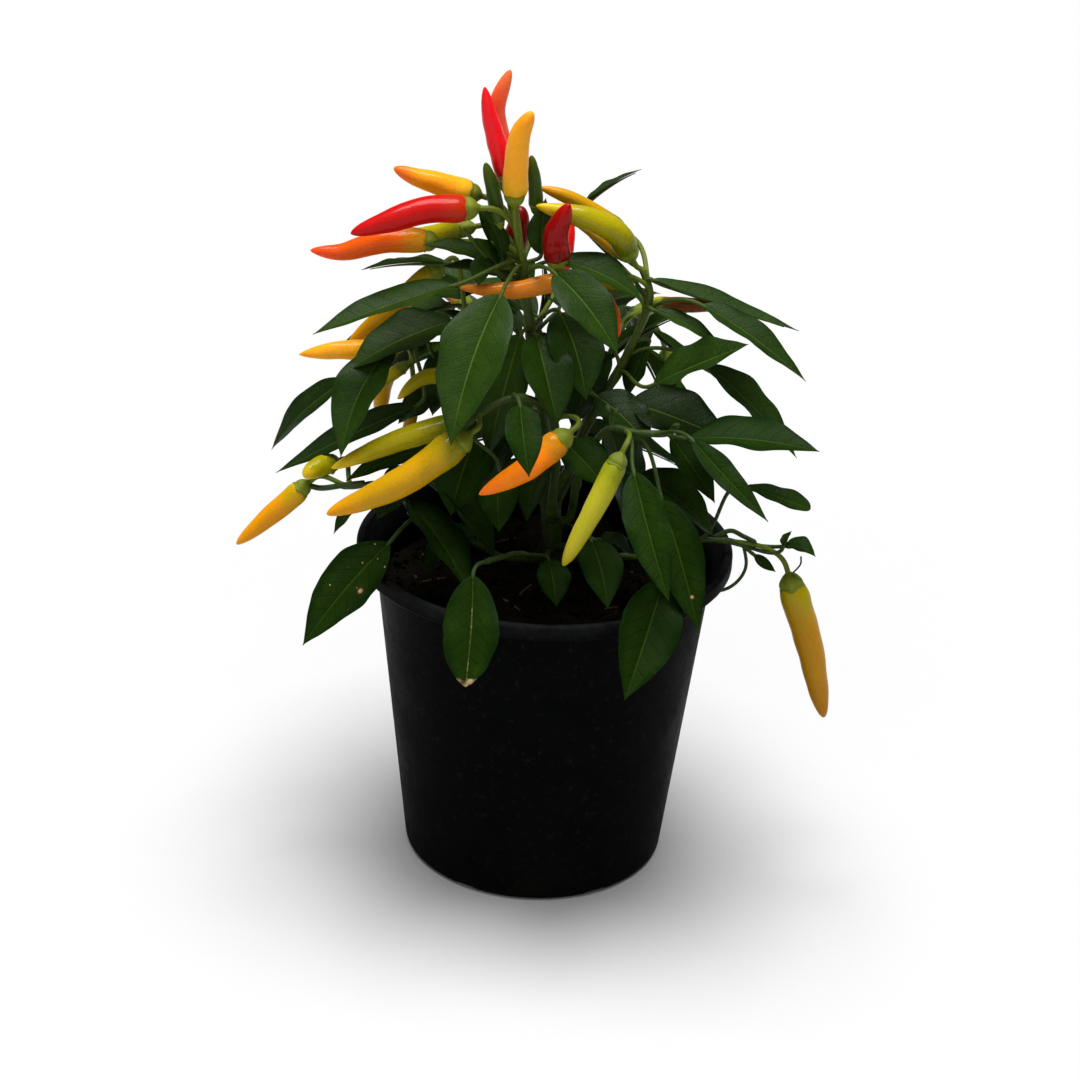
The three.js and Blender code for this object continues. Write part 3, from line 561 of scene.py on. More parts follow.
def main_stem_parts(forks):
    """The stem: its radius falls with height, plus a root flare (a Gaussian at the soil), a Gaussian swelling
    at each fork and five shallow ribs. Each fork adds a tapered spur with a rounded end."""
    path = point_at(curve_through(STEM_ROUTE), np.linspace(0, 1, STEM_ROWS))
    height = path[:, 2:]
    angle = np.linspace(0, 2 * np.pi, STEM_SIDES, endpoint=False)
    radius = np.interp(height, (SOIL_TOP, STEM_ROUTE[-1][2]), STEM_RADII)
    flare = ROOT_FLARE * np.exp(-((height - .134) / .006) ** 2) * (1 + .5 * np.cos(4 * angle + .7))
    swell = sum(FORK_SWELLING * np.exp(-((height - fork) / .0025) ** 2) for fork, _, _ in forks)
    ribs = .00014 * np.cos(5 * angle + 25 * height) + .00005 * np.cos(11 * angle - 60 * height)
    cap = np.sqrt(1 - smooth_step(.186, .1895, height) ** 2 * .9)
    woody = smooth_step(.172, .138, height)
    rings = tube_rings(path, (radius + flare + swell + ribs) * cap, STEM_SIDES)
    parts = [ring_part(rings, woody=woody + 0 * angle, cup=0)]
    for fork, first_point, stem_radius in forks:
        middle, direction, length = spur_of(fork, first_point, stem_radius)
        share = np.linspace(0, 1, SPUR_ROWS)[:, None]
        radius = stem_radius * (1.35 - .25 * share) * np.sqrt(1 - .5 * smooth_step(.9, 1, share) ** 2)
        rings = tube_rings(middle + share * length * direction, radius, SPUR_SIDES)
        woody = .8 * smooth_step(.172, .138, np.array(fork)) * (1 - share)
        parts.append(ring_part(rings, woody=woody, cup=0))
    return parts


def stalk_effect():
    """Skin of a green stem: dark and light streaks along it, and grey-brown cork where it turns woody."""
    takes = [
        ("Place", "Vector", (0, 0, 0)), ("Woody", "Float", 0), ("Cup", "Float", 0),
        ("Dark", "Color", STALK_DARK), ("Green", "Color", STALK_GREEN), ("Light", "Color", STALK_LIGHT),
    ]
    gives = [("Color", "Color"), ("Roughness", "Float"), ("Height", "Float")]
    tree, given, out = new_effect("stalk_skin", takes, gives)
    streak = use_effect(tree, MOTTLE, Place=given["Place"], Size=.009, Contrast=1.6)["Mask"]
    green = mix_colours(tree, mask(tree, streak, .1, .55), given["Dark"], given["Green"])
    lightened = calculate(tree, "MAXIMUM", mask(tree, streak, .5, 1, 0, .7), given["Cup"])
    green = mix_colours(tree, lightened, green, given["Light"])
    fibre = use_effect(tree, MOTTLE, Place=given["Place"], Size=.0015, Contrast=4)["Mask"]
    cork = mix_colours(tree, fibre, CORK_DARK, CORK_LIGHT)
    patchy = calculate(tree, "ADD", given["Woody"], calculate(tree, "MULTIPLY_ADD", fibre, .5, -.25))
    share = mask(tree, patchy, .25, .75)
    wire(tree, out["Color"], mix_colours(tree, share, green, cork))
    wire(tree, out["Roughness"], mask(tree, share, 0, 1, .42, .85))
    wire(tree, out["Height"], fibre)
    return tree


STALK_SKIN = stalk_effect()


def stalk_material(name, dark, green, light):
    """A stem's material, from the stalk skin with its own three greens."""
    material, tree, shader = new_material(name, Specular_IOR_Level=.2)
    woody, cup = attribute(tree, "woody")["Fac"], attribute(tree, "cup")["Fac"]
    inputs = {"Place": object_place(tree), "Woody": woody, "Cup": cup}
    skin = use_effect(tree, STALK_SKIN, **inputs, Dark=dark, Green=green, Light=light)
    wire(tree, shader["Base Color"], skin["Color"])
    wire(tree, shader["Roughness"], skin["Roughness"])
    wire(tree, shader["Normal"], bump(tree, skin["Height"], .00012))
    return material


STALK = stalk_material("stalk_green", STALK_DARK, STALK_GREEN, STALK_LIGHT)


# ---- Leafy stems ----
# Twelve green stems fork off the main stem. Each bears its leaves on slim stalks and its chillies on curved
# ones, and all of it has grown as one. Some small leaves and the bare twigs have no solid of their own.


def leaf(base, tip, width, arch=.06, roll=0, root=None, blunt=0, dry=0, flecks=0, spot=(9, 0, .001)):
    """A leaf: both ends of its blade, its width, the rise of its midrib as a share of its length, its roll in
    degrees, the share of the stem where its stalk starts, how blunt, dry and flecked it is, and a scar's
    place along and across the blade and its size, which lies past the tip on a leaf without one."""
    return {
        "base": np.array(base, float), "tip": np.array(tip, float), "width": width, "arch": arch,
        "roll": roll, "root": root, "blunt": blunt, "dry": dry, "flecks": flecks, "spot": spot,
    }


def twig(radius, *line, bud=None):
    """A bare side stem: its radius, its middle line and the radius of the flower bud at its end, if any."""
    return {"radius": radius, "curve": curve_through(line), "bud": bud or radius}


def chilli(look, radius, bluntness, *line, root=None):
    """A chilli: its look, which is its ripeness and, for a few pods, painted shade; its full radius, how
    blunt its tip is from 0 to 1, its middle line, and the share of the stem where its stalk starts."""
    curve = curve_through(line)
    return {"look": look, "radius": radius, "bluntness": bluntness, "curve": curve, "root": root}


SHOOTS = {
    "crown": {
        "fork": .184,
        "radii": (.0026, .0016),
        "route": [(-.004, -.004, .222), (-.010, -.005, .255), (-.014, -.004, .281), (-.015, -.003, .293)],
        "leaves": [
            leaf((-.023, -.026, .281), (-.041, -.066, .228), .031, .07, 8, root=.9),
            leaf((-.001, -.022, .290), (.027, -.044, .263), .023, .08, -25),
            leaf((0, -.002, .288), (.037, -.006, .273), .020, .09, -16),
            leaf((-.043, -.026, .284), (-.101, -.042, .265), .020, .03, 8, root=.9),
            leaf((-.048, .006, .282), (-.085, .014, .274), .016, .04, -14),
            leaf((.002, 0, .264), (.015, -.024, .233), .026, .06, -10),
            leaf((-.008, -.010, .257), (.003, -.036, .226), .026, .06, 6),
            leaf((-.007, 0, .290), (-.006, .004, .314), .013, .04, -10),
            leaf((-.031, -.010, .292), (-.033, -.017, .281), .010, .06, 10),
            leaf((-.047, .024, .2555), (-.080, .028, .241), .022, .05),
            leaf((.002, .012, .262), (.004, .066, .246), .026, .08),
            leaf((-.008, .010, .258), (-.044, .044, .260), .022),
            leaf((.010, .010, .258), (.047, .046, .257), .024),
            leaf((-.014, -.012, .258), (-.026, -.026, .206), .028, .06, 6),
            leaf((-.006, .012, .250), (.002, .028, .204), .024),
            leaf((.002, .024, .240), (0, .044, .194), .020),
            leaf((-.023, -.006, .288), (-.034, -.008, .313), .012, .06, 40),
            leaf((-.025, -.008, .287), (-.037, -.014, .301), .010, .06, 40),
            leaf((-.0316, -.004, .2885), (-.0575, -.005, .2935), .011, .05, 20),
            leaf((-.029, -.006, .283), (-.049, -.008, .285), .010, .06, 10),
            leaf((-.0252, .010, .285), (-.0367, .012, .3085), .012, .06, 30),
            leaf((-.0343, .026, .263), (-.055, .028, .2705), .022, .06, 10),
            leaf((-.0059, .024, .251), (-.007, .024, .2785), .014, .05),
            leaf((-.0209, .012, .2697), (-.0346, .014, .2878), .012, .06, 20),
        ],
        "twigs": [
            twig(.0009, (-.0145, -.004, .279), (-.0228, -.008, .2821), (-.032, -.012, .2944),
                 (-.0401, -.016, .3057)),
        ],
        "chillies": [
            chilli("orange_red", .0048, .9, (-.023, .010, .318), (-.0255, .010, .333), (-.0285, .009, .351),
                   (-.023, .008, .3685)),
            chilli("crimson", .0046, .5, (-.023, 0, .325), (-.0265, -.001, .336), (-.031, -.001, .351),
                   (-.0335, 0, .363)),
            chilli("amber", .0056, 1, (-.019, -.012, .320), (-.019, -.013, .332), (-.018, -.014, .346),
                   (-.013, -.016, .358)),
            chilli("unripe", .0033, .9, (-.010, .010, .308), (-.011, .010, .319), (-.013, .010, .331)),
            chilli("unripe", .0036, .9, (-.026, -.004, .305), (-.028, -.005, .318), (-.032, -.006, .332)),
            chilli("sunrise", .0054, .6, (-.038, .004, .315), (-.051, .002, .319), (-.061, .001, .322),
                   (-.071, 0, .326)),
            chilli("red", .0062, .6, (-.039, -.014, .314), (-.056, -.018, .314), (-.072, -.022, .3095),
                   (-.087, -.026, .305), root=.9),
            chilli("orange", .0056, .5, (-.056, 0, .294), (-.074, -.002, .294), (-.092, -.003, .2885),
                   (-.106, -.004, .289), root=.92),
            chilli("yellow_green", .0044, .5, (-.040, .016, .295), (-.056, .020, .290), (-.074, .024, .286),
                   root=.9),
            # The next three pods have looks darkened as painted shade: they hang behind leaves and under
            # other fruit.
            chilli("shaded_crimson", .0060, .8, (-.0200, .016, .285), (-.0175, .017, .295), (-.0165, .018, .3055)),
            chilli("shaded_red", .006, .5, (0, -.006, .290), (-.001, -.008, .302), (.004, -.010, .317)),
            chilli("shaded_amber", .0042, .6, (.001, -.011, .282), (-.019, -.013, .278), (-.041, -.015, .279)),
            chilli("red", .0045, .5, (.001, .030, .269), (.0035, .044, .277), (.0060, .058, .286)),
            chilli("yellow_green", .0042, .5, (-.014, .034, .258), (-.020, .048, .264),
                   (-.026, .062, .272)),
        ],
    },
    "right_upper": {
        "fork": .176,
        "radii": (.0023, .0013),
        "route": [(.010, .003, .190), (.016, .006, .208), (.029, .008, .234), (.038, .008, .257),
                  (.041, .008, .271), (.037, .011, .282)],
        "leaves": [
            leaf((.0435, -.020, .240), (.0825, -.032, .265), .028, .02, -16),
            leaf((.067, 0, .242), (.109, -.008, .203), .022, .03, -14),
            leaf((.041, .008, .278), (.107, .008, .2565), .016, 0, -4),
            leaf((.063, -.002, .271), (.1095, -.014, .242), .019, .05, -12),
            leaf((.043, .002, .266), (.0725, -.006, .2535), .010, .04, -16),
            leaf((.034, -.006, .2255), (.079, -.020, .2145), .030, .02, -22),
            leaf((.012, .044, .300), (.036, .058, .311), .010, .04, 24),
            leaf((.024, .034, .283), (.003, .038, .292), .009, .06, 4),
            leaf((.025, .014, .241), (.010, .004, .208), .026, .08, 10),
            leaf((.019, -.008, .229), (.044, -.024, .211), .024, .08, -14),
            leaf((.024, .008, .212), (.034, .002, .166), .030, .06, -6),
            leaf((.036, .012, .246), (.052, .020, .208), .026),
            leaf((.042, .010, .248), (.034, .006, .223), .018, .06, 10),
        ],
        "chillies": [
            chilli("golden", .0042, .6, (.027, .026, .294), (.015, .024, .302), (.004, .023, .3085),
                   (-.009, .022, .313)),
            chilli("yellow_green", .0057, .5, (.0305, .008, .290), (.025, .006, .299), (.013, .003, .306),
                   (-.010, 0, .312)),
            chilli("golden", .003, .4, (.028, .018, .285), (.017, .019, .293), (.005, .020, .300)),
            chilli("orange", .0034, .5, (.020, -.002, .274), (.025, -.004, .266), (.028, -.006, .256)),
            # This pod's look is darkened as painted shade: it hangs under a leaf.
            chilli("shaded_russet", .0038, .5, (.046, .014, .264), (.060, .013, .265), (.075, .012, .265)),
            chilli("golden", .0036, .4, (.028, .020, .270), (.019, .020, .274), (.010, .018, .277)),
        ],
    },
    "right_mid": {
        "fork": .160,
        "radii": (.002, .0012),
        "route": [(.011, -.010, .172), (.014, -.019, .197), (.024, -.030, .222), (.037, -.038, .225),
                  (.051, -.040, .226)],
        "leaves": [
            leaf((.006, -.028, .215), (.025, -.042, .200), .022, .06, -20),
            leaf((.036, -.058, .216), (.0525, -.096, .174), .020, .05, -22),
            leaf((.049, -.048, .199), (.0665, -.084, .155), .022, .06, -25, spot=(.76, -.10, .0011)),
            leaf((.040, -.016, .195), (.0745, -.014, .166), .028, .05, -18),
            leaf((.059, -.046, .227), (.113, -.062, .230), .027, .02, -10),
            leaf((.052, -.034, .222), (.0715, -.052, .200), .015, .02, -22),
            leaf((.0595, -.056, .231), (.0915, -.088, .209), .0120, .03, -22),
        ],
        "twigs": [
            twig(.0005, (.026, -.031, .2225), (.0255, -.028, .228), (.0240, -.025, .2325), bud=.0015),
            twig(.0005, (.0262, -.031, .2225), (.0275, -.028, .228), (.0290, -.026, .2315), bud=.0012),
            twig(.0005, (.0500, -.040, .226), (.0520, -.041, .2295), (.0550, -.043, .2320), bud=.0013),
        ],
        "chillies": [
            chilli("pale", .0052, .8, (.029, -.052, .217), (.019, -.058, .195), (.008, -.062, .172)),
        ],
    },
    "right_low": {
        "fork": .146,
        "radii": (.0018, .0011),
        "route": [(.017, -.003, .147), (.030, -.004, .148), (.065, -.006, .159), (.080, -.005, .160),
                  (.090, -.005, .158)],
        "leaves": [
            leaf((.0875, -.010, .1895), (.1165, -.016, .182), .0115, .02, -20, blunt=1.25),
            leaf((.108, -.006, .159), (.121, -.012, .157), .012, .16, -10),
            leaf((.107, -.008, .160), (.110, -.010, .168), .005, .10, 20, root=.93),
            leaf((.094, -.008, .155), (.104, -.010, .148), .005, .06, -60, root=.95),
        ],
        "twigs": [
            twig(.0008, (.089, -.005, .159), (.091, -.007, .150), (.089, -.009, .144), (.084, -.010, .139),
                 (.078, -.010, .137), (.072, -.009, .138)),
            twig(.0011, (.076, -.004, .161), (.083, -.003, .164), (.089, -.004, .162), (.095, -.006, .160)),
            twig(.0004, (.115, -.010, .156), (.115, -.010, .152), (.112, -.009, .147)),
        ],
        "chillies": [
            # This pod's look is a deeper golden than the others, and is also darkened as painted shade.
            chilli("shaded_ochre", .0069, .8, (.112, -.008, .141), (.123, -.010, .109), (.132, -.012, .075)),
        ],
    },
    "left_front": {
        "fork": .164,
        "radii": (.0021, .0011),
        "route": [(.002, -.016, .178), (.003, -.022, .202), (0, -.024, .226), (-.015, -.036, .238),
                  (-.032, -.044, .232), (-.046, -.039, .214), (-.066, -.030, .195), (-.091, -.020, .185)],
        "leaves": [
            leaf((-.053, -.026, .194), (-.022, -.052, .168), .028, .06, 20),
            leaf((-.021, -.040, .206), (-.020, -.054, .183), .018, .05),
            leaf((-.013, -.060, .245), (-.008, -.084, .223), .017),
            leaf((-.032, -.030, .215), (-.041, -.046, .186), .026, .06, 10),
            leaf((-.056, -.020, .195), (-.074, -.028, .174), .022, .06, 14),
            leaf((.002, -.028, .216), (-.008, -.036, .180), .024),
            leaf((-.013, -.008, .212), (-.025, -.012, .189), .020, .06, 20),
            leaf((-.0505, -.020, .207), (-.088, -.024, .190), .015, .06, 20),
            leaf((-.081, -.028, .185), (-.0925, -.032, .168), .009, .04, 20),
        ],
        "twigs": [
            twig(.0013, (-.0803, -.0240, .1896), (-.0888, -.0220, .1873), (-.0991, -.0200, .1844),
                 (-.1050, -.0188, .1848)),
        ],
        "chillies": [
            chilli("yellow_green", .0053, .5, (-.041, -.034, .224), (-.068, -.040, .216),
                   (-.093, -.044, .205)),
            chilli("golden", .0071, .6, (-.038, -.055, .225), (-.062, -.062, .208), (-.093, -.067, .194)),
            chilli("honey", .0049, .5, (-.108, -.018, .183), (-.122, -.020, .170), (-.137, -.022, .156)),
            chilli("yellow_green", .0050, .8, (-.096, -.012, .193), (-.1015, -.0175, .193),
                   (-.107, -.0235, .1915)),
            chilli("tangerine", .0062, .3, (.005, -.046, .224), (-.010, -.054, .213), (-.029, -.060, .203)),
        ],
    },
    "left_upper": {
        "fork": .170,
        "radii": (.0022, .0012),
        "route": [(-.009, .002, .184), (-.015, .006, .206), (-.020, .007, .232), (-.033, .008, .246),
                  (-.053, .008, .249), (-.068, .004, .241)],
        "leaves": [
            leaf((-.043, -.010, .2615), (-.0875, -.028, .2435), .027, .06, 14),
            leaf((-.069, -.018, .252), (-.088, -.052, .214), .025, .1, -4),
            leaf((-.091, .010, .224), (-.125, .018, .185), .017, .06, 36),
            leaf((-.058, -.008, .221), (-.120, -.012, .187), .016, -.01, 24),
            leaf((-.049, .006, .220), (-.067, .002, .207), .022, .06, 10),
            leaf((-.036, .014, .238), (-.064, .024, .200), .026),
            leaf((-.044, .008, .241), (-.052, .002, .212), .020, .06, 20),
        ],
        "chillies": [
            chilli("golden", .0052, .6, (-.053, .012, .276), (-.070, .010, .260), (-.090, .006, .243)),
            chilli("amber", .0047, .2, (-.077, -.008, .246), (-.092, -.010, .246), (-.110, -.012, .244)),
            chilli("yellow_green", .003, .8, (-.066, .008, .232), (-.072, .008, .227), (-.077, .008, .221)),
            chilli("yellow_green", .0038, .5, (-.042, -.006, .236), (-.057, -.010, .234),
                   (-.067, -.012, .225)),
            chilli("golden", .0032, .8, (-.062, .012, .210), (-.063, .012, .203), (-.065, .010, .195)),
        ],
    },
    "back_left": {
        "fork": .180,
        "radii": (.0021, .0012),
        "route": [(-.007, .012, .196), (-.018, .030, .216), (-.030, .048, .232), (-.044, .068, .240)],
        "leaves": [
            leaf((-.046, .070, .240), (-.067, .099, .200), .027),
            leaf((-.052, .060, .236), (-.102, .059, .214), .026),
            leaf((-.038, .074, .238), (-.016, .117, .206), .026),
            leaf((-.046, .050, .226), (-.094, .062, .188), .026),
            leaf((-.026, .040, .226), (-.054, .032, .250), .022),
            leaf((-.028, .052, .234), (-.010, .092, .254), .022),
            leaf((-.0325, .045, .2575), (-.0585, .0455, .2525), .017, .06, 30),
        ],
        "chillies": [
            chilli("orange", .0042, .5, (-.041, .056, .245), (-.0525, .072, .247), (-.062, .086, .245)),
            chilli("golden", .0052, .6, (-.074, .080, .212), (-.080, .088, .190), (-.082, .092, .166)),
        ],
    },
    "back_right": {
        "fork": .166,
        "radii": (.0021, .0012),
        "route": [(.009, .011, .180), (.018, .028, .208), (.030, .052, .236), (.038, .074, .240)],
        "leaves": [
            leaf((.034, .075, .238), (.042, .110, .200), .016, .04),
            leaf((.046, .066, .232), (.090, .060, .207), .013, -.05),
            leaf((.030, .078, .238), (.017, .119, .206), .026),
            leaf((.038, .052, .230), (.070, .048, .190), .015, .04),
            leaf((.024, .040, .226), (.062, .034, .254), .022),
            leaf((.026, .052, .234), (.010, .092, .252), .022),
        ],
        "chillies": [
            chilli("yellow_green", .0040, .5, (.039, .060, .243), (.049, .077, .241),
                   (.0602, .0922, .2352)),
            chilli("orange", .0047, .5, (.054, .092, .209), (.0592, .100, .1875), (.0592, .104, .1640)),
        ],
    },
    "back_low": {
        "fork": .156,
        "radii": (.0019, .0011),
        "route": [(.005, .012, .163), (.004, .024, .171), (0, .048, .184), (-.004, .076, .186)],
        "leaves": [
            leaf((-.004, .080, .186), (-.004, .124, .158), .028),
            leaf((-.008, .070, .188), (-.056, .104, .164), .028),
            leaf((.004, .068, .188), (.052, .104, .166), .028),
            leaf((-.006, .052, .184), (-.062, .066, .160), .028),
            leaf((.008, .050, .186), (.066, .064, .162), .026),
            leaf((0, .034, .176), (-.048, .038, .150), .024),
            leaf((.008, .032, .176), (.054, .030, .152), .024),
        ],
        "chillies": [
            chilli("amber", .005, .6, (.014, .096, .168), (.017, .101, .148), (.018, .102, .128)),
        ],
    },
    "left_low": {
        "fork": .143,
        "radii": (.0016, .0011),
        "route": [(-.008, -.006, .147), (-.020, -.012, .151), (-.042, -.020, .167), (-.061, -.024, .176)],
        "leaves": [
            leaf((-.068, -.036, .167), (-.1035, -.060, .127), .026, .03, 30, flecks=1,
                 spot=(.42, -.55, .0017)),
            leaf((-.061, -.030, .184), (-.031, -.066, .156), .026, .06, 14),
            leaf((-.030, -.014, .164), (-.054, -.026, .148), .024),
        ],
        "chillies": [],
    },
    "front_right": {
        "fork": .152,
        "radii": (.0017, .0011),
        "route": [(.010, -.011, .156), (.016, -.020, .158), (.030, -.036, .165), (.041, -.050, .172)],
        "leaves": [
            leaf((.051, -.068, .170), (.036, -.104, .131), .028, .04, 30),
            leaf((.020, -.040, .174), (.028, -.066, .154), .020, .06, -6),
            leaf((.024, -.022, .166), (.046, -.016, .144), .024),
        ],
        "chillies": [],
    },
    "front_low": {
        "fork": .148,
        "radii": (.0016, .0011),
        "route": [(.002, -.011, .153), (-.001, -.025, .157), (-.012, -.042, .167), (-.026, -.062, .172)],
        "leaves": [
            leaf((-.030, -.072, .171), (-.031, -.100, .132), .0255, .04, 0, blunt=.75, dry=1),
            leaf((.002, -.038, .163), (.006, -.052, .147), .016),
        ],
        "chillies": [],
    },
}

SHOOT_SIDES = 16
SHOOT_ROW = .0016
SHOOT_SUNK = .0012
NODE_SWELLING = .28
TWIG_ROWS = 30
TWIG_SIDES = 10
BUD_LENGTH = 3.4
LEAF_STALK_RADIUS = .0009
LEAF_STALK_SIDES = 10
LEAF_STALK_ROWS = 22
MIDRIB_ROWS = 22
MIDRIB_REACH = .9
PEDICEL_RADII = (.0010, .0012)
PEDICEL_ROWS = 22
CALYX_SIDES = 30
CALYX_TEETH = 5
CALYX_OVERLAP = .0011
CALYX_TOOTH = .0007
CALYX_WALL = .0003
YOUNG_SHOOTS = ("crown", "left_upper", "right_upper")
YOUNG_DARK = (.018, .036, .003, 1)
YOUNG_GREEN = (.048, .078, .006, 1)
YOUNG_PALE = (.105, .140, .010, 1)
PEDICEL_DARK = (.048, .075, .004, 1)
PEDICEL_GREEN = (.100, .140, .007, 1)
PEDICEL_LIGHT = (.165, .200, .011, 1)


def bezier(controls, share):
    """Points of the Bezier curve of the controls: neighbours are mixed by the share until one is left."""
    points = np.array(controls)[:, None] + 0 * share[:, None]
    while len(points) > 1:
        points = points[:-1] + share[:, None] * (points[1:] - points[:-1])
    return points[0]


def stem_curve(shoot):
    """The middle line of a leafy stem, from the end of its spur."""
    middle, direction, length = spur_of(shoot["fork"], shoot["route"][0], shoot["radii"][0])
    return curve_through([middle + direction * (length + SOLID_GAP), *shoot["route"]])


def stalk_path(stem, target, direction, root, rows):
    """A stalk's path and root. It leaves the stem along it, below the stem's nearest point to the target by
    half their distance unless its root is given, and it arrives at the target in the given direction."""
    length = stem[1][-1]
    tries = np.linspace(0, 1, 61)
    distance = np.linalg.norm(point_at(stem, tries) - target, axis=1)
    nearest = distance.argmin()
    share = root or max(tries[nearest] - .5 * distance[nearest] / length, .003 / length)
    start = point_at(stem, share)
    reach = .35 * np.linalg.norm(start - target)
    controls = [start, start + heading_at(stem, share) * reach, target - direction * reach, target]
    return bezier(controls, np.linspace(0, 1, rows)), share


def midrib_of(one, share):
    """Points, directions, across and face vectors of a leaf's midrib: a quadratic Bezier curve over its chord
    that rises by twice the arch, with across square to it and turned about the chord by the roll."""
    chord = one["tip"] - one["base"]
    length = np.linalg.norm(chord)
    ahead = chord / length
    rise = unit(np.array([0, 0, 1]) - ahead[2] * ahead)
    side = np.cross(ahead, rise)
    spin = np.array(Matrix.Rotation(np.radians(-one["roll"]), 3, ahead.tolist()))
    rise, side = spin @ rise, spin @ side
    crest = (one["base"] + one["tip"]) / 2 + rise * 2 * one["arch"] * length
    points = bezier([one["base"], crest, one["tip"]], share)
    slope = bezier([crest - one["base"], one["tip"] - crest], share)
    along = unit(slope)
    across = unit(side - (along @ side)[:, None] * along)
    return points, along, across, np.cross(across, along)


def leaf_stalk(stem, one):
    """A leaf's stalk and its root. The stalk runs on under the blade as the midrib, with a radius that falls
    to a fifth, and swells where it leaves the stem."""
    share = np.linspace(0, MIDRIB_REACH, MIDRIB_ROWS)
    points, along, _, face = midrib_of(one, share)
    path, root = stalk_path(stem, points[0], along[0], one["root"], LEAF_STALK_ROWS)
    under = points - face * (LEAF_STALK_RADIUS * (.9 - .75 * share / MIDRIB_REACH))[:, None]
    blend = smooth_step(0, .08, share)[:, None]
    path = np.concatenate([path, (points + blend * (under - points))[1:]])
    run = np.linalg.norm(path - path[0], axis=1)[:, None]
    taper = np.concatenate([np.ones(LEAF_STALK_ROWS), 1 - .8 * share[1:] / MIDRIB_REACH])[:, None]
    radius = LEAF_STALK_RADIUS * taper * (1 + .45 * np.exp(-((run / .0025) ** 2)))
    return ring_part(tube_rings(path, radius, LEAF_STALK_SIDES), woody=0, cup=0), root


def chilli_radius(pod, t):
    """A chilli's radius at shares of its length: the neck widens on a quarter ellipse, and the body is a mix
    of a pointed and a blunt power curve by its bluntness. The tip is rounded off to a point."""
    from_neck = 1 - np.minimum(t / .12, 1)
    neck = .62 + .38 * np.sqrt(1 - from_neck**2)
    pointed = (1 - t**2.2) ** .75
    blunt = (1 - .22 * t) * (1 - t**6) ** .55
    body = pod["radius"] * neck * ((1 - pod["bluntness"]) * pointed + pod["bluntness"] * blunt)
    return np.maximum(body, .0005) * np.sqrt(1 - np.clip((t - .985) / .015, 0, 1) ** 2)


def pedicel(stem, pod):
    """A chilli's stalk and cap in one skin, and its root. The stalk thickens towards the cap, the cap opens
    over the fruit's shoulder with five teeth, and its rim turns in and closes under the fruit."""
    heading = heading_at(pod["curve"], 0)
    mouth = point_at(pod["curve"], 0) - heading * SOLID_GAP
    length = pod["radius"] + .0015
    path, root = stalk_path(stem, mouth - heading * length, heading, pod["root"], PEDICEL_ROWS)
    run = np.linalg.norm(path - path[0], axis=1)
    stalk = np.linspace(*PEDICEL_RADII, PEDICEL_ROWS) * (1 + .5 * np.exp(-((run / .002) ** 2)))
    opening = np.linspace(0, 1, 14)[1:]
    dome = np.sin(np.pi / 2 * np.clip((opening - .35) / .65, 0, 1)) ** .8
    cup = PEDICEL_RADII[1] + (.80 * pod["radius"] - PEDICEL_RADII[1]) * dome
    over = np.array([.35, .7, 1]) * (CALYX_OVERLAP + SOLID_GAP)
    hugged = chilli_radius(pod, np.maximum(over - SOLID_GAP, 0) / pod["curve"][1][-1]) + CALYX_WALL
    inside = np.array([.8, .2]) * over[-1]
    hidden = np.array([.97, .6]) * hugged[-1] - CALYX_WALL
    steps = np.concatenate([(opening - 1) * length, over, inside])
    path = np.concatenate([path, mouth + steps[:, None] * heading])
    radius = np.concatenate([stalk, cup, hugged, hidden])[:, None]
    angle = np.linspace(0, 2 * np.pi, CALYX_SIDES, endpoint=False)
    ribs = 1 + .05 * np.cos(CALYX_TEETH * angle) * np.concatenate([np.ones(len(path) - 2), [0, 0]])[:, None]
    rings = tube_rings(path, radius * ribs, CALYX_SIDES)
    tooth = CALYX_TOOTH * (np.abs(np.cos(CALYX_TEETH * angle / 2)) ** 2.5 - .3)
    reach = np.zeros(len(path))
    reach[-5:] = .3, .7, 1, .7, .1
    greened = np.concatenate([.3 * np.linspace(0, 1, PEDICEL_ROWS) ** 2, .3 + .7 * dome, np.ones(5)])[:, None]
    return ring_part(rings + (reach[:, None] * tooth)[..., None] * heading, woody=0, cup=greened), root


def twig_part(side_stem):
    """A twig: its radius, plus a bud that is a half wave of sine over the last few bud radii."""
    length = side_stem["curve"][1][-1]
    share = np.linspace(0, 1, TWIG_ROWS)
    into_bud = np.clip(1 - (1 - share) * length / (BUD_LENGTH * side_stem["bud"]), 0, 1)
    radius = side_stem["radius"] + (side_stem["bud"] - side_stem["radius"]) * np.sin(np.pi * into_bud**.8)
    radius = radius * np.sqrt(1 - .9 * smooth_step(.95, 1, share))
    rings = tube_rings(point_at(side_stem["curve"], share), radius[:, None], TWIG_SIDES)
    return ring_part(rings, woody=0, cup=0)


def shoot_tube(shoot, stem, roots):
    """The leafy stem: tapered from root to tip, with five soft ribs, a Gaussian swelling at each root of a
    stalk, and a rounded end. It starts inside its spur."""
    rows = int(stem[1][-1] / SHOOT_ROW)
    share = np.linspace(0, 1, rows)
    path = point_at(stem, share)
    path[0] -= SHOOT_SUNK * heading_at(stem, 0)
    angle = np.linspace(0, 2 * np.pi, SHOOT_SIDES, endpoint=False)
    apart = (share[:, None] - np.array(roots)) * stem[1][-1]
    swell = 1 + NODE_SWELLING * np.exp(-((apart / .0028) ** 2)).max(1)[:, None]
    ribs = 1 + .05 * np.cos(5 * angle + 40 * share[:, None])
    ends = np.sqrt(1 - .8 * smooth_step(.985, 1, share) ** 2)[:, None]
    radius = np.linspace(*shoot["radii"], rows)[:, None] * swell * ribs * ends
    woody = .55 * smooth_step(.16, .13, path[:, 2:]) * smooth_step(.3, 0, share)[:, None]
    return ring_part(tube_rings(path, radius, SHOOT_SIDES), woody=woody, cup=0)


main_stem_forks = [(shoot["fork"], shoot["route"][0], shoot["radii"][0]) for shoot in SHOOTS.values()]
main_stem = new_piece("main_stem_skin", main_stem_parts(main_stem_forks), STALK)
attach(main_stem, "root")
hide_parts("main_stem")

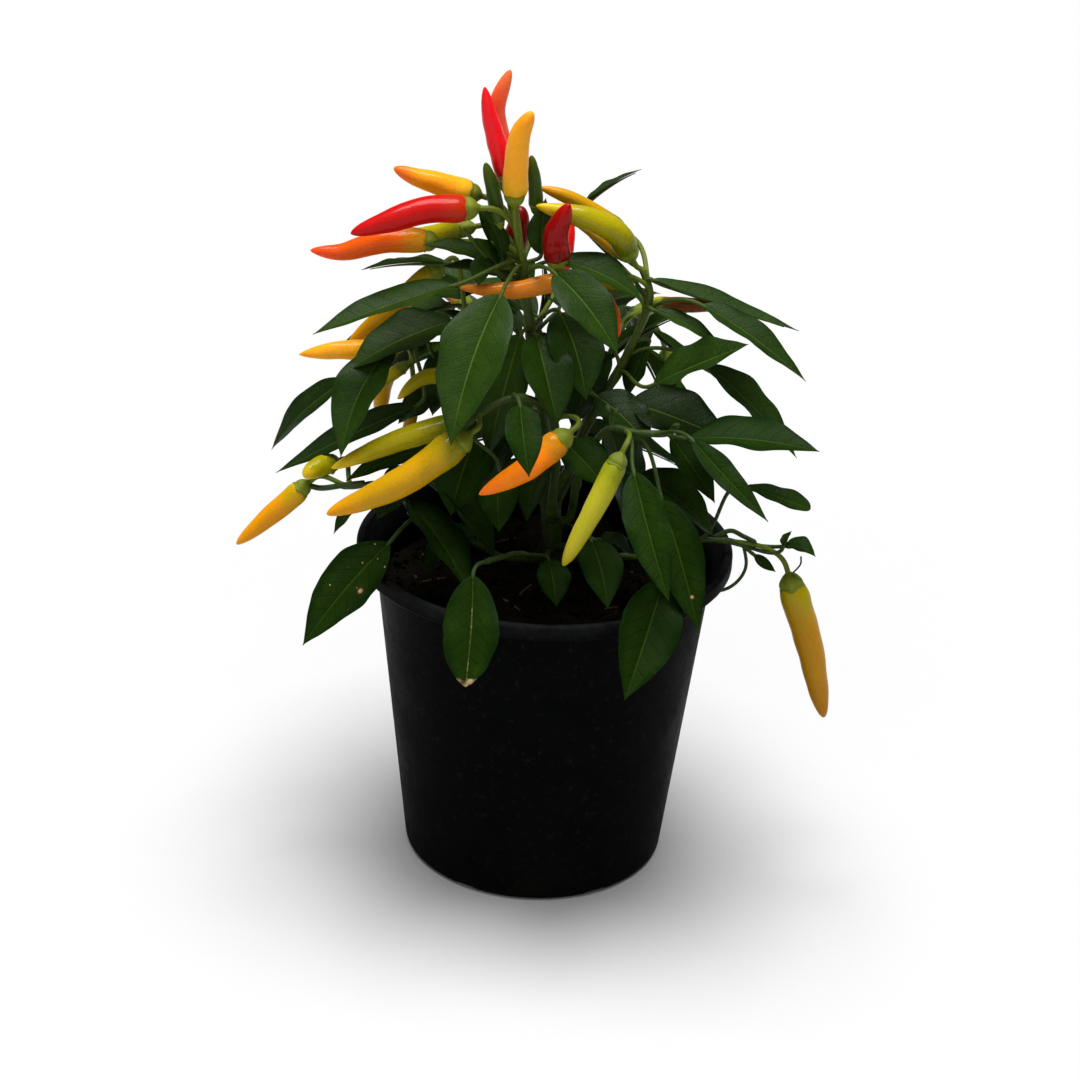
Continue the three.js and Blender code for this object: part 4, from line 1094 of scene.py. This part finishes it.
PEDICEL = stalk_material("pedicel_green", PEDICEL_DARK, PEDICEL_GREEN, PEDICEL_LIGHT)
YOUNG_STALK = stalk_material("young_stalk_green", YOUNG_DARK, YOUNG_GREEN, YOUNG_PALE)
for name, shoot in SHOOTS.items():
    stem = stem_curve(shoot)
    leaf_stalks = [leaf_stalk(stem, one) for one in shoot["leaves"]]
    pedicels = [pedicel(stem, pod) for pod in shoot["chillies"]]
    roots = [root for _, root in leaf_stalks + pedicels]
    stems = [shoot_tube(shoot, stem, roots), *(part for part, _ in leaf_stalks)]
    stems += [twig_part(side_stem) for side_stem in shoot.get("twigs", [])]
    stalks = [new_piece("stalks_" + name, stems, YOUNG_STALK if name in YOUNG_SHOOTS else STALK)]
    if pedicels:
        stalks.append(new_piece("caps_" + name, [part for part, _ in pedicels], PEDICEL))
    for piece in stalks:
        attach(piece, "root")
        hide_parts("shoot_" + name)


# ---- Leaves ----
# Soft, thin blades, lance-shaped with a long point. Each is folded a little along its midrib and quilted
# between its side veins, dark and waxy above and paler below.
LEAF_SHOULDER = .80
LEAF_TAPER = 1.15
LEAF_FOLD = .31
LEAF_THICKNESS = .00042
LEAF_RAGGED = .035
LEAF_QUILT = .00015
LEAF_GROOVE = .00028
LEAF_WAVE = .075
LEAF_ROWS = 44
LEAF_COLUMNS = (0, .03, .075, .14, .23, .34, .46, .59, .71, .82, .91, .97, 1)
VEIN_PAIRS = 8
LEAF_DARK = (.0030, .0150, .0004, 1)
LEAF_GREEN = (.0112, .0345, .0012, 1)
LEAF_LIGHT = (.0390, .0740, .0080, 1)
LEAF_UNDER = (.030, .062, .007, 1)
MIDRIB_PALE = (.120, .190, .022, 1)
LEAF_DRY = (.420, .330, .180, 1)
LEAF_BROWN = (.105, .052, .018, 1)


def leaf_outline(one, t):
    """Half the blade's width: t to the shoulder's power times 1 - t to the taper's power, over its highest
    value. A blunt leaf keeps its width for longer."""
    taper = LEAF_TAPER * (1 - .45 * one["blunt"])
    peak = LEAF_SHOULDER / (LEAF_SHOULDER + taper)
    widest = peak**LEAF_SHOULDER * (1 - peak) ** taper
    return np.maximum(one["width"] * t**LEAF_SHOULDER * (1 - t) ** taper / widest, .0005) / 2


def blade_part(one, seed):
    """A leaf's blade as a closed skin. Its rows follow the midrib, and each row runs left to right on top and
    back underneath. Height = fold (a rounded V) + quilting (a cosine of the side veins' phase) + waves that
    grow towards the edge + curl - a Gaussian groove at the midrib."""
    draw = np.random.default_rng(seed)
    u = np.linspace(0, 1, LEAF_ROWS)
    t = (.55 * u + .45 * (.5 - .5 * np.cos(np.pi * u)))[:, None]
    points, along, across, face = midrib_of(one, t[:, 0])
    length = np.linalg.norm(one["tip"] - one["base"])
    half_columns = np.array(LEAF_COLUMNS)
    top = np.concatenate([-half_columns[:0:-1], half_columns])
    w = np.concatenate([top, top[-2:0:-1]])
    is_top = np.concatenate([np.ones(len(top)), np.zeros(len(top) - 2)])
    is_top[[0, len(top) - 1]] = .5
    half = leaf_outline(one, t)
    rims = np.stack([t * length + 0 * w, .05 * np.sign(w) + 0 * t], -1)
    ragged = 1 + LEAF_RAGGED * wave_noise(rims, .009, seed)
    reach = half * np.abs(w) * ragged
    fold = half * (1.22 * np.abs(w) - .22 * np.abs(w) ** 4) * np.sin(LEAF_FOLD)
    spacing = length / VEIN_PAIRS
    phase = (t * length - .75 * reach - 14 * reach**2) / spacing + .5 * (w > 0) + .2
    pillow = 4 * np.abs(w) * (1 - np.abs(w)) * np.sin(np.pi * t) ** .5
    quilt = LEAF_QUILT * (one["width"] / .025) * pillow * (.5 - .5 * np.cos(2 * np.pi * phase))
    spot_along, spot_across, spot_size = one["spot"]
    beside_spot = np.sign(w) * reach - spot_across * leaf_outline(one, min(spot_along, 1))
    scar = np.stack(np.broadcast_arrays((t - spot_along) * length, beside_spot, spot_size), -1)
    waves, start = draw.uniform(1.6, 2.8), draw.uniform(0, 1, 2)
    swing = np.sin(2 * np.pi * (waves * t + start[0] + start[1] * (w > 0)))
    edge = LEAF_WAVE * half * swing * np.abs(w) ** 2.2 * np.sin(np.pi * np.clip(t * 1.1, 0, 1)) ** .5
    curl = draw.uniform(-.10, .10) * half * w * (2 * t - .6)
    groove = -LEAF_GROOVE * np.exp(-((reach / .0007) ** 2)) * (1 - t)
    thickness = LEAF_THICKNESS * np.sqrt(1 - w**2) * (1 - .4 * t)
    height = fold + quilt + edge + curl + groove + (is_top - .5) * thickness
    sideways = np.sign(w) * reach * np.cos(LEAF_FOLD)
    sway = draw.uniform(-.03, .03) * length * np.sin(np.pi * t) + 0 * w
    lift = smooth_step(0, .06, t) * .5 * LEAF_STALK_RADIUS
    rings = points[:, None] + (sideways + sway)[..., None] * across[:, None]
    rings = rings + (height + lift)[..., None] * face[:, None]
    blade = np.stack(np.broadcast_arrays(t, np.abs(w), is_top), -1)
    # Leaves lower on the plant are darkened: painted shade under the canopy, along with the darker green of
    # older leaves.
    low_shade_and_age = smooth_step(.285, .20, one["base"][2])
    look = np.broadcast_to([draw.uniform(-.16, .16) - .36 * low_shade_and_age, one["dry"], one["flecks"]], blade.shape)
    return ring_part(rings, blade=blade, phase=phase, look=look, scar=scar)


def leaf_material(name, wax, rib):
    """A blade's wax and veins, with the wax given as the shader's specular level and the rib as the paleness
    of its midrib. The midrib and side veins are pale lines worked out from the blade and phase attributes, a
    fine net of cells lies between them, and the underside is paler and duller."""
    material, tree, shader = new_material(name, Specular_IOR_Level=wax, Subsurface_Weight=.05,
                                          Subsurface_Radius=(.0004, .0010, .0002))
    place = object_place(tree)
    blade = add_node(tree, "SeparateXYZ", {0: attribute(tree, "blade")["Vector"]}).outputs
    look = add_node(tree, "SeparateXYZ", {0: attribute(tree, "look")["Vector"]}).outputs
    phase = attribute(tree, "phase")["Fac"]
    from_vein = calculate(tree, "ABSOLUTE", calculate(tree, "SUBTRACT", calculate(tree, "FRACT", phase), .5))
    on_vein = mask(tree, from_vein, .5, .43)
    fading = mask(tree, blade[1], .95, .5)
    side_veins = calculate(tree, "MULTIPLY", on_vein, fading)
    midrib = mask(tree, blade[1], .042, .014)
    cells = {"Vector": place, "Scale": 700}
    from_wall = add_node(tree, "TexVoronoi", cells, feature="DISTANCE_TO_EDGE").outputs[0]
    net = mask(tree, from_wall, .10, .0)
    uneven = use_effect(tree, MOTTLE, Place=place, Size=.011, Contrast=2.2)["Mask"]
    fine = use_effect(tree, MOTTLE, Place=place, Size=.0022, Contrast=2)["Mask"]
    shade = calculate(tree, "MULTIPLY_ADD", uneven, .5, calculate(tree, "MULTIPLY_ADD", fine, .18, -.30))
    # look's first value is each leaf's own tone plus the painted shade of the lower leaves.
    shade = calculate(tree, "ADD", shade, calculate(tree, "MULTIPLY_ADD", look[0], .9, .35))
    green = mix_colours(tree, mask(tree, shade, .0, .5), LEAF_DARK, LEAF_GREEN)
    green = mix_colours(tree, mask(tree, shade, .45, 1.1), green, LEAF_LIGHT)
    lines = calculate(tree, "MAXIMUM", calculate(tree, "MULTIPLY", midrib, rib),
                      calculate(tree, "MULTIPLY_ADD", side_veins, .05, calculate(tree, "MULTIPLY", net, .02)))
    upper = mix_colours(tree, lines, green, MIDRIB_PALE)
    under = mix_colours(tree, calculate(tree, "MULTIPLY", lines, .9), LEAF_UNDER, MIDRIB_PALE)
    whole = mix_colours(tree, mask(tree, blade[2], .45, .55), under, upper)
    flecked = calculate(tree, "MULTIPLY", mask(tree, uneven, .48, .60), look[2])
    fleck_cells = add_node(tree, "TexVoronoi", {"Vector": place, "Scale": 260}).outputs["Distance"]
    flecks = calculate(tree, "MULTIPLY", mask(tree, fleck_cells, .12, .06), flecked)
    whole = mix_colours(tree, flecks, whole, LEAF_DRY)
    scar = add_node(tree, "SeparateXYZ", {0: attribute(tree, "scar")["Vector"]}).outputs
    flat = add_node(tree, "CombineXYZ", {0: scar[0], 1: scar[1]}).outputs[0]
    far = add_node(tree, "VectorMath", {0: flat}, operation="LENGTH").outputs["Value"]
    far = calculate(tree, "DIVIDE", far, scar[2])
    whole = mix_colours(tree, mask(tree, far, 1.1, .8), whole, LEAF_BROWN)
    whole = mix_colours(tree, mask(tree, far, .65, .45), whole, LEAF_DRY)
    at_tip = mask(tree, calculate(tree, "MULTIPLY_ADD", fine, .06, blade[0]), .955, .985)
    rib_wear = mask(tree, uneven, .35, .7, 0, .6)
    along_rib = calculate(tree, "MULTIPLY", mask(tree, blade[1], .036, .014), rib_wear)
    dried = calculate(tree, "MULTIPLY", calculate(tree, "MAXIMUM", at_tip, along_rib), look[1])
    husk = mix_colours(tree, mask(tree, fine, .3, .7), LEAF_BROWN, LEAF_DRY)
    wire(tree, shader["Base Color"], mix_colours(tree, dried, whole, husk))
    gloss = calculate(tree, "MULTIPLY_ADD", uneven, .16, .34)
    below = mask(tree, blade[2], .55, .45)
    wire(tree, shader["Roughness"], calculate(tree, "MULTIPLY_ADD", below, .2, gloss))
    relief = calculate(tree, "MULTIPLY_ADD", side_veins, -.25, calculate(tree, "MULTIPLY", net, -.22))
    relief = calculate(tree, "MULTIPLY_ADD", fine, .25, relief)
    wire(tree, shader["Normal"], bump(tree, relief, .00022))
    return material


YOUNG_LEAF = leaf_material("young_leaf", .10, .40)
OLD_LEAF = leaf_material("old_leaf", .035, .24)
for number, (name, shoot) in enumerate(SHOOTS.items()):
    blades = [blade_part(one, 100 * number + i) for i, one in enumerate(shoot["leaves"])]
    piece = new_piece("leaves_" + name, blades, YOUNG_LEAF if name in YOUNG_SHOOTS else OLD_LEAF)
    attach(piece, "root")
    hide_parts("shoot_" + name)


# ---- Chillies ----
# Smooth, glossy pods with thin juicy walls, each hanging or standing in its green cap. They ripen from green
# through yellow and orange to red, and the shoulder lags behind the tip.
# A few looks are darkened with painted shade, for pods that hang in the shade of leaves and other fruit.
CHILLI_ROWS = 46
CHILLI_SIDES = 28
CHILLI_LOBES = .030
CHILLI_LUMPS = .045
RIPENESS_AND_SHADE = {
    "orange_red": ("orange_red", (.75, .120, .008), (.98, .105, .035), (.98, .170, .045)),
    "crimson": ("crimson", (.60, .005, .005), (.90, .010, .020), (.85, .012, .016)),
    # Painted shade: the next three looks are darkened for pods that hang in the shade of leaves and other
    # fruit.
    "shaded_crimson": ("crimson", (.300, .240, .004), (.200, .004, .002), (.170, .003, .002)),
    "shaded_russet": ("crimson", (.120, .060, .006), (.180, .050, .006), (.220, .060, .008)),
    "shaded_red": ("red", (.20, .006, .002), (.30, .002, .002), (.36, .003, .003)),
    "red": ("red", (.44, .024, .003), (.52, .004, .003), (.56, .005, .005)),
    "orange": ("orange", (.50, .220, .004), (.68, .085, .002), (.92, .075, .010)),
    "tangerine": ("orange", (.55, .220, .004), (.98, .230, .003), (.98, .190, .010)),
    "sunrise": ("orange", (.82, .440, .020), (.95, .350, .007), (.95, .165, .008)),
    "amber": ("amber", (.72, .380, .006), (.98, .400, .012), (.98, .350, .012)),
    # Painted shade: amber darkened for a pod shaded by the fruit and stalks above it.
    "shaded_amber": ("amber", (.46, .160, .008), (.58, .170, .008), (.60, .180, .012)),
    "golden": ("golden", (.25, .220, .003), (.52, .270, .002), (.72, .285, .003)),
    "honey": ("golden", (.52, .330, .003), (.72, .280, .002), (.80, .300, .003)),
    # Painted shade: a deeper, darker golden for the low pod at the right.
    "shaded_ochre": ("golden", (.34, .270, .003), (.43, .200, .001), (.42, .165, .001)),
    "yellow_green": ("yellow_green", (.13, .155, .003), (.37, .315, .003), (.66, .450, .008)),
    "pale": ("yellow_green", (.28, .320, .009), (.48, .445, .018), (.58, .460, .020)),
    "unripe": ("unripe", (.060, .110, .006), (.034, .070, .004), (.060, .090, .006)),
}


def chilli_part(pod, seed):
    """A pod's skin: rings round its middle line with the chilli's radius, times one plus three soft lobes at
    the shoulder and seeded waves that make it a little lumpy."""
    draw = np.random.default_rng(seed)
    u = np.linspace(0, 1, CHILLI_ROWS)
    t = (.35 * u + .65 * (.5 - .5 * np.cos(np.pi * u)))[:, None]
    angle = np.linspace(0, 2 * np.pi, CHILLI_SIDES, endpoint=False)
    lobes = CHILLI_LOBES * np.cos(3 * angle + draw.uniform(0, 6)) * (1 - t) ** 2
    around = np.stack(np.broadcast_arrays(np.cos(angle), np.sin(angle), 7 * t), -1)
    lumps = CHILLI_LUMPS * wave_noise(around, 1.5, seed) * smooth_step(0, .1, t)
    radii = chilli_radius(pod, t) * (1 + lobes + lumps)
    rings = tube_rings(point_at(pod["curve"], t[:, 0]), radii, CHILLI_SIDES)
    return ring_part(rings, ripe=t + 0 * angle)


def chilli_effect():
    """A pod's colour from its shoulder to its tip, with streaks that blur one into the next."""
    takes = [
        ("Place", "Vector", (0, 0, 0)), ("Along", "Float", 0), ("Shoulder", "Color", (1, 1, 1, 1)),
        ("Body", "Color", (1, 1, 1, 1)), ("Tip", "Color", (1, 1, 1, 1)),
    ]
    gives = [("Color", "Color"), ("Roughness", "Float"), ("Height", "Float")]
    tree, given, out = new_effect("chilli_skin", takes, gives)
    blotch = use_effect(tree, MOTTLE, Place=given["Place"], Size=.008, Contrast=2)["Mask"]
    fine = use_effect(tree, MOTTLE, Place=given["Place"], Size=.0012, Contrast=1.5)["Mask"]
    moved = calculate(tree, "MULTIPLY_ADD", calculate(tree, "SUBTRACT", blotch, .5), .26, given["Along"])
    early = mask(tree, moved, .02, .34)
    late = mask(tree, moved, .62, 1.0)
    colour = mix_colours(tree, early, given["Shoulder"], given["Body"])
    colour = mix_colours(tree, late, colour, given["Tip"])
    shade = mask(tree, fine, 0, 1, .90, 1.06)
    tint = add_node(tree, "CombineColor", {0: shade, 1: shade, 2: shade}).outputs[0]
    wire(tree, out["Color"], mix_colours(tree, 1, colour, tint, "MULTIPLY"))
    wire(tree, out["Roughness"], mask(tree, blotch, 0, 1, .24, .36))
    wire(tree, out["Height"], calculate(tree, "MULTIPLY_ADD", fine, .3, blotch))
    return tree


CHILLI_SKIN = chilli_effect()


def chilli_material(name, colours):
    """A ripening pod's material from its three colours."""
    material, tree, shader = new_material(name, Specular_IOR_Level=.05, Coat_Weight=.20, Coat_Roughness=.10,
                                          Subsurface_Weight=.10, Subsurface_Radius=(.0020, .0006, .0002))
    shoulder, body, tip = [(*colour, 1) for colour in colours]
    along = attribute(tree, "ripe")["Fac"]
    place = object_place(tree)
    skin = use_effect(tree, CHILLI_SKIN, Place=place, Along=along, Shoulder=shoulder, Body=body, Tip=tip)
    wire(tree, shader["Base Color"], skin["Color"])
    wire(tree, shader["Roughness"], skin["Roughness"])
    wire(tree, shader["Normal"], bump(tree, skin["Height"], .00022))
    return material


chilli_skins = {look: chilli_material("chilli_" + look, colours) for look, (_, *colours) in RIPENESS_AND_SHADE.items()}
for number, (name, shoot) in enumerate(SHOOTS.items()):
    for i, pod in enumerate(shoot["chillies"], 1):
        parts = [chilli_part(pod, 1000 + 100 * number + i)]
        piece = new_piece(f"pod_{name}_{i}", parts, chilli_skins[pod["look"]])
        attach(piece, "root")
        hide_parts(f"chilli_{name}_{i}")


# ---- Floor, light and camera ----
# A pale seamless floor under a broad soft light from above, with a weak one from the front and an even white
# sky. The camera looks down on the pot from the front, leaning a little to one side.
FLOOR_HALF = 45
FLOOR_GREY = (.555, .555, .555, 1)
FLOOR_WHITE = (.560, .560, .560, 1)
SUN_STRENGTH = 5.1
SUN_SPREAD = 41
SUN_DIRECTION = (0, -.04, -1)
FILL_STRENGTH = .6
FILL_SPREAD = 70
FILL_DIRECTION = (.1, .87, -.5)
SKY_STRENGTH = .09
CAMERA_LOWERING = 25.8
CAMERA_ROLL = 2.44
CAMERA_DISTANCE = 1.2
CAMERA_AIM = (0, 0, .154)
CAMERA_LENS = 88.47
CAMERA_SENSOR = 36
CAMERA_REACH = 90
CAMERA_SIDESTEP = .00226


def floor_sheet():
    """The floor: one flat square."""
    mesh = bpy.data.meshes.new("pale_floor")
    corners = [(-FLOOR_HALF, -FLOOR_HALF, 0), (FLOOR_HALF, -FLOOR_HALF, 0)]
    corners += [(FLOOR_HALF, FLOOR_HALF, 0), (-FLOOR_HALF, FLOOR_HALF, 0)]
    mesh.from_pydata(corners, [], [(0, 1, 2, 3)])
    material, tree, shader = new_material("pale_floor", Roughness=.9, Specular_IOR_Level=.1)
    grain = noise(tree, object_place(tree), 40)
    wire(tree, shader["Base Color"], mix_colours(tree, grain, FLOOR_GREY, FLOOR_WHITE))
    mesh.materials.append(material)
    sheet = bpy.data.objects.new("pale_floor", mesh)
    bpy.context.scene.collection.objects.link(sheet)
    return sheet


floor_sheet()
for name, strength, spread, direction in (
    ("overhead_light", SUN_STRENGTH, SUN_SPREAD, SUN_DIRECTION),
    ("front_light", FILL_STRENGTH, FILL_SPREAD, FILL_DIRECTION),
):
    light = bpy.data.lights.new(name, "SUN")
    light.energy = strength
    light.angle = np.radians(spread)
    lamp = bpy.data.objects.new(name, light)
    lamp.matrix_world = Vector(direction).to_track_quat("-Z", "Y").to_matrix().to_4x4()
    bpy.context.scene.collection.objects.link(lamp)
sky = bpy.data.worlds.new("white_sky")
sky.use_nodes = True
sky.node_tree.nodes["Background"].inputs["Color"].default_value = (1, 1, 1, 1)
sky.node_tree.nodes["Background"].inputs["Strength"].default_value = SKY_STRENGTH
bpy.context.scene.world = sky
bpy.context.scene.view_settings.view_transform = "Standard"

lowering, roll = np.radians(CAMERA_LOWERING), np.radians(CAMERA_ROLL)
backwards = np.array([0, -np.cos(lowering), np.sin(lowering)])
level_right = np.array([1, 0, 0])
level_up = np.cross(backwards, level_right)
camera_right = level_right * np.cos(roll) + level_up * np.sin(roll)
camera_up = level_up * np.cos(roll) - level_right * np.sin(roll)
camera_place = np.array(CAMERA_AIM) + CAMERA_DISTANCE * backwards - CAMERA_SIDESTEP * camera_right
turn = np.eye(4)
turn[:3, :3] = np.stack([camera_right, camera_up, backwards], 1)
turn[:3, 3] = camera_place
lens = bpy.data.cameras.new("front_camera")
lens.lens = CAMERA_LENS
lens.sensor_width = CAMERA_SENSOR
lens.clip_end = CAMERA_REACH
camera = bpy.data.objects.new("front_camera", lens)
camera.matrix_world = Matrix(turn.tolist())
bpy.context.scene.collection.objects.link(camera)
bpy.context.scene.camera = camera
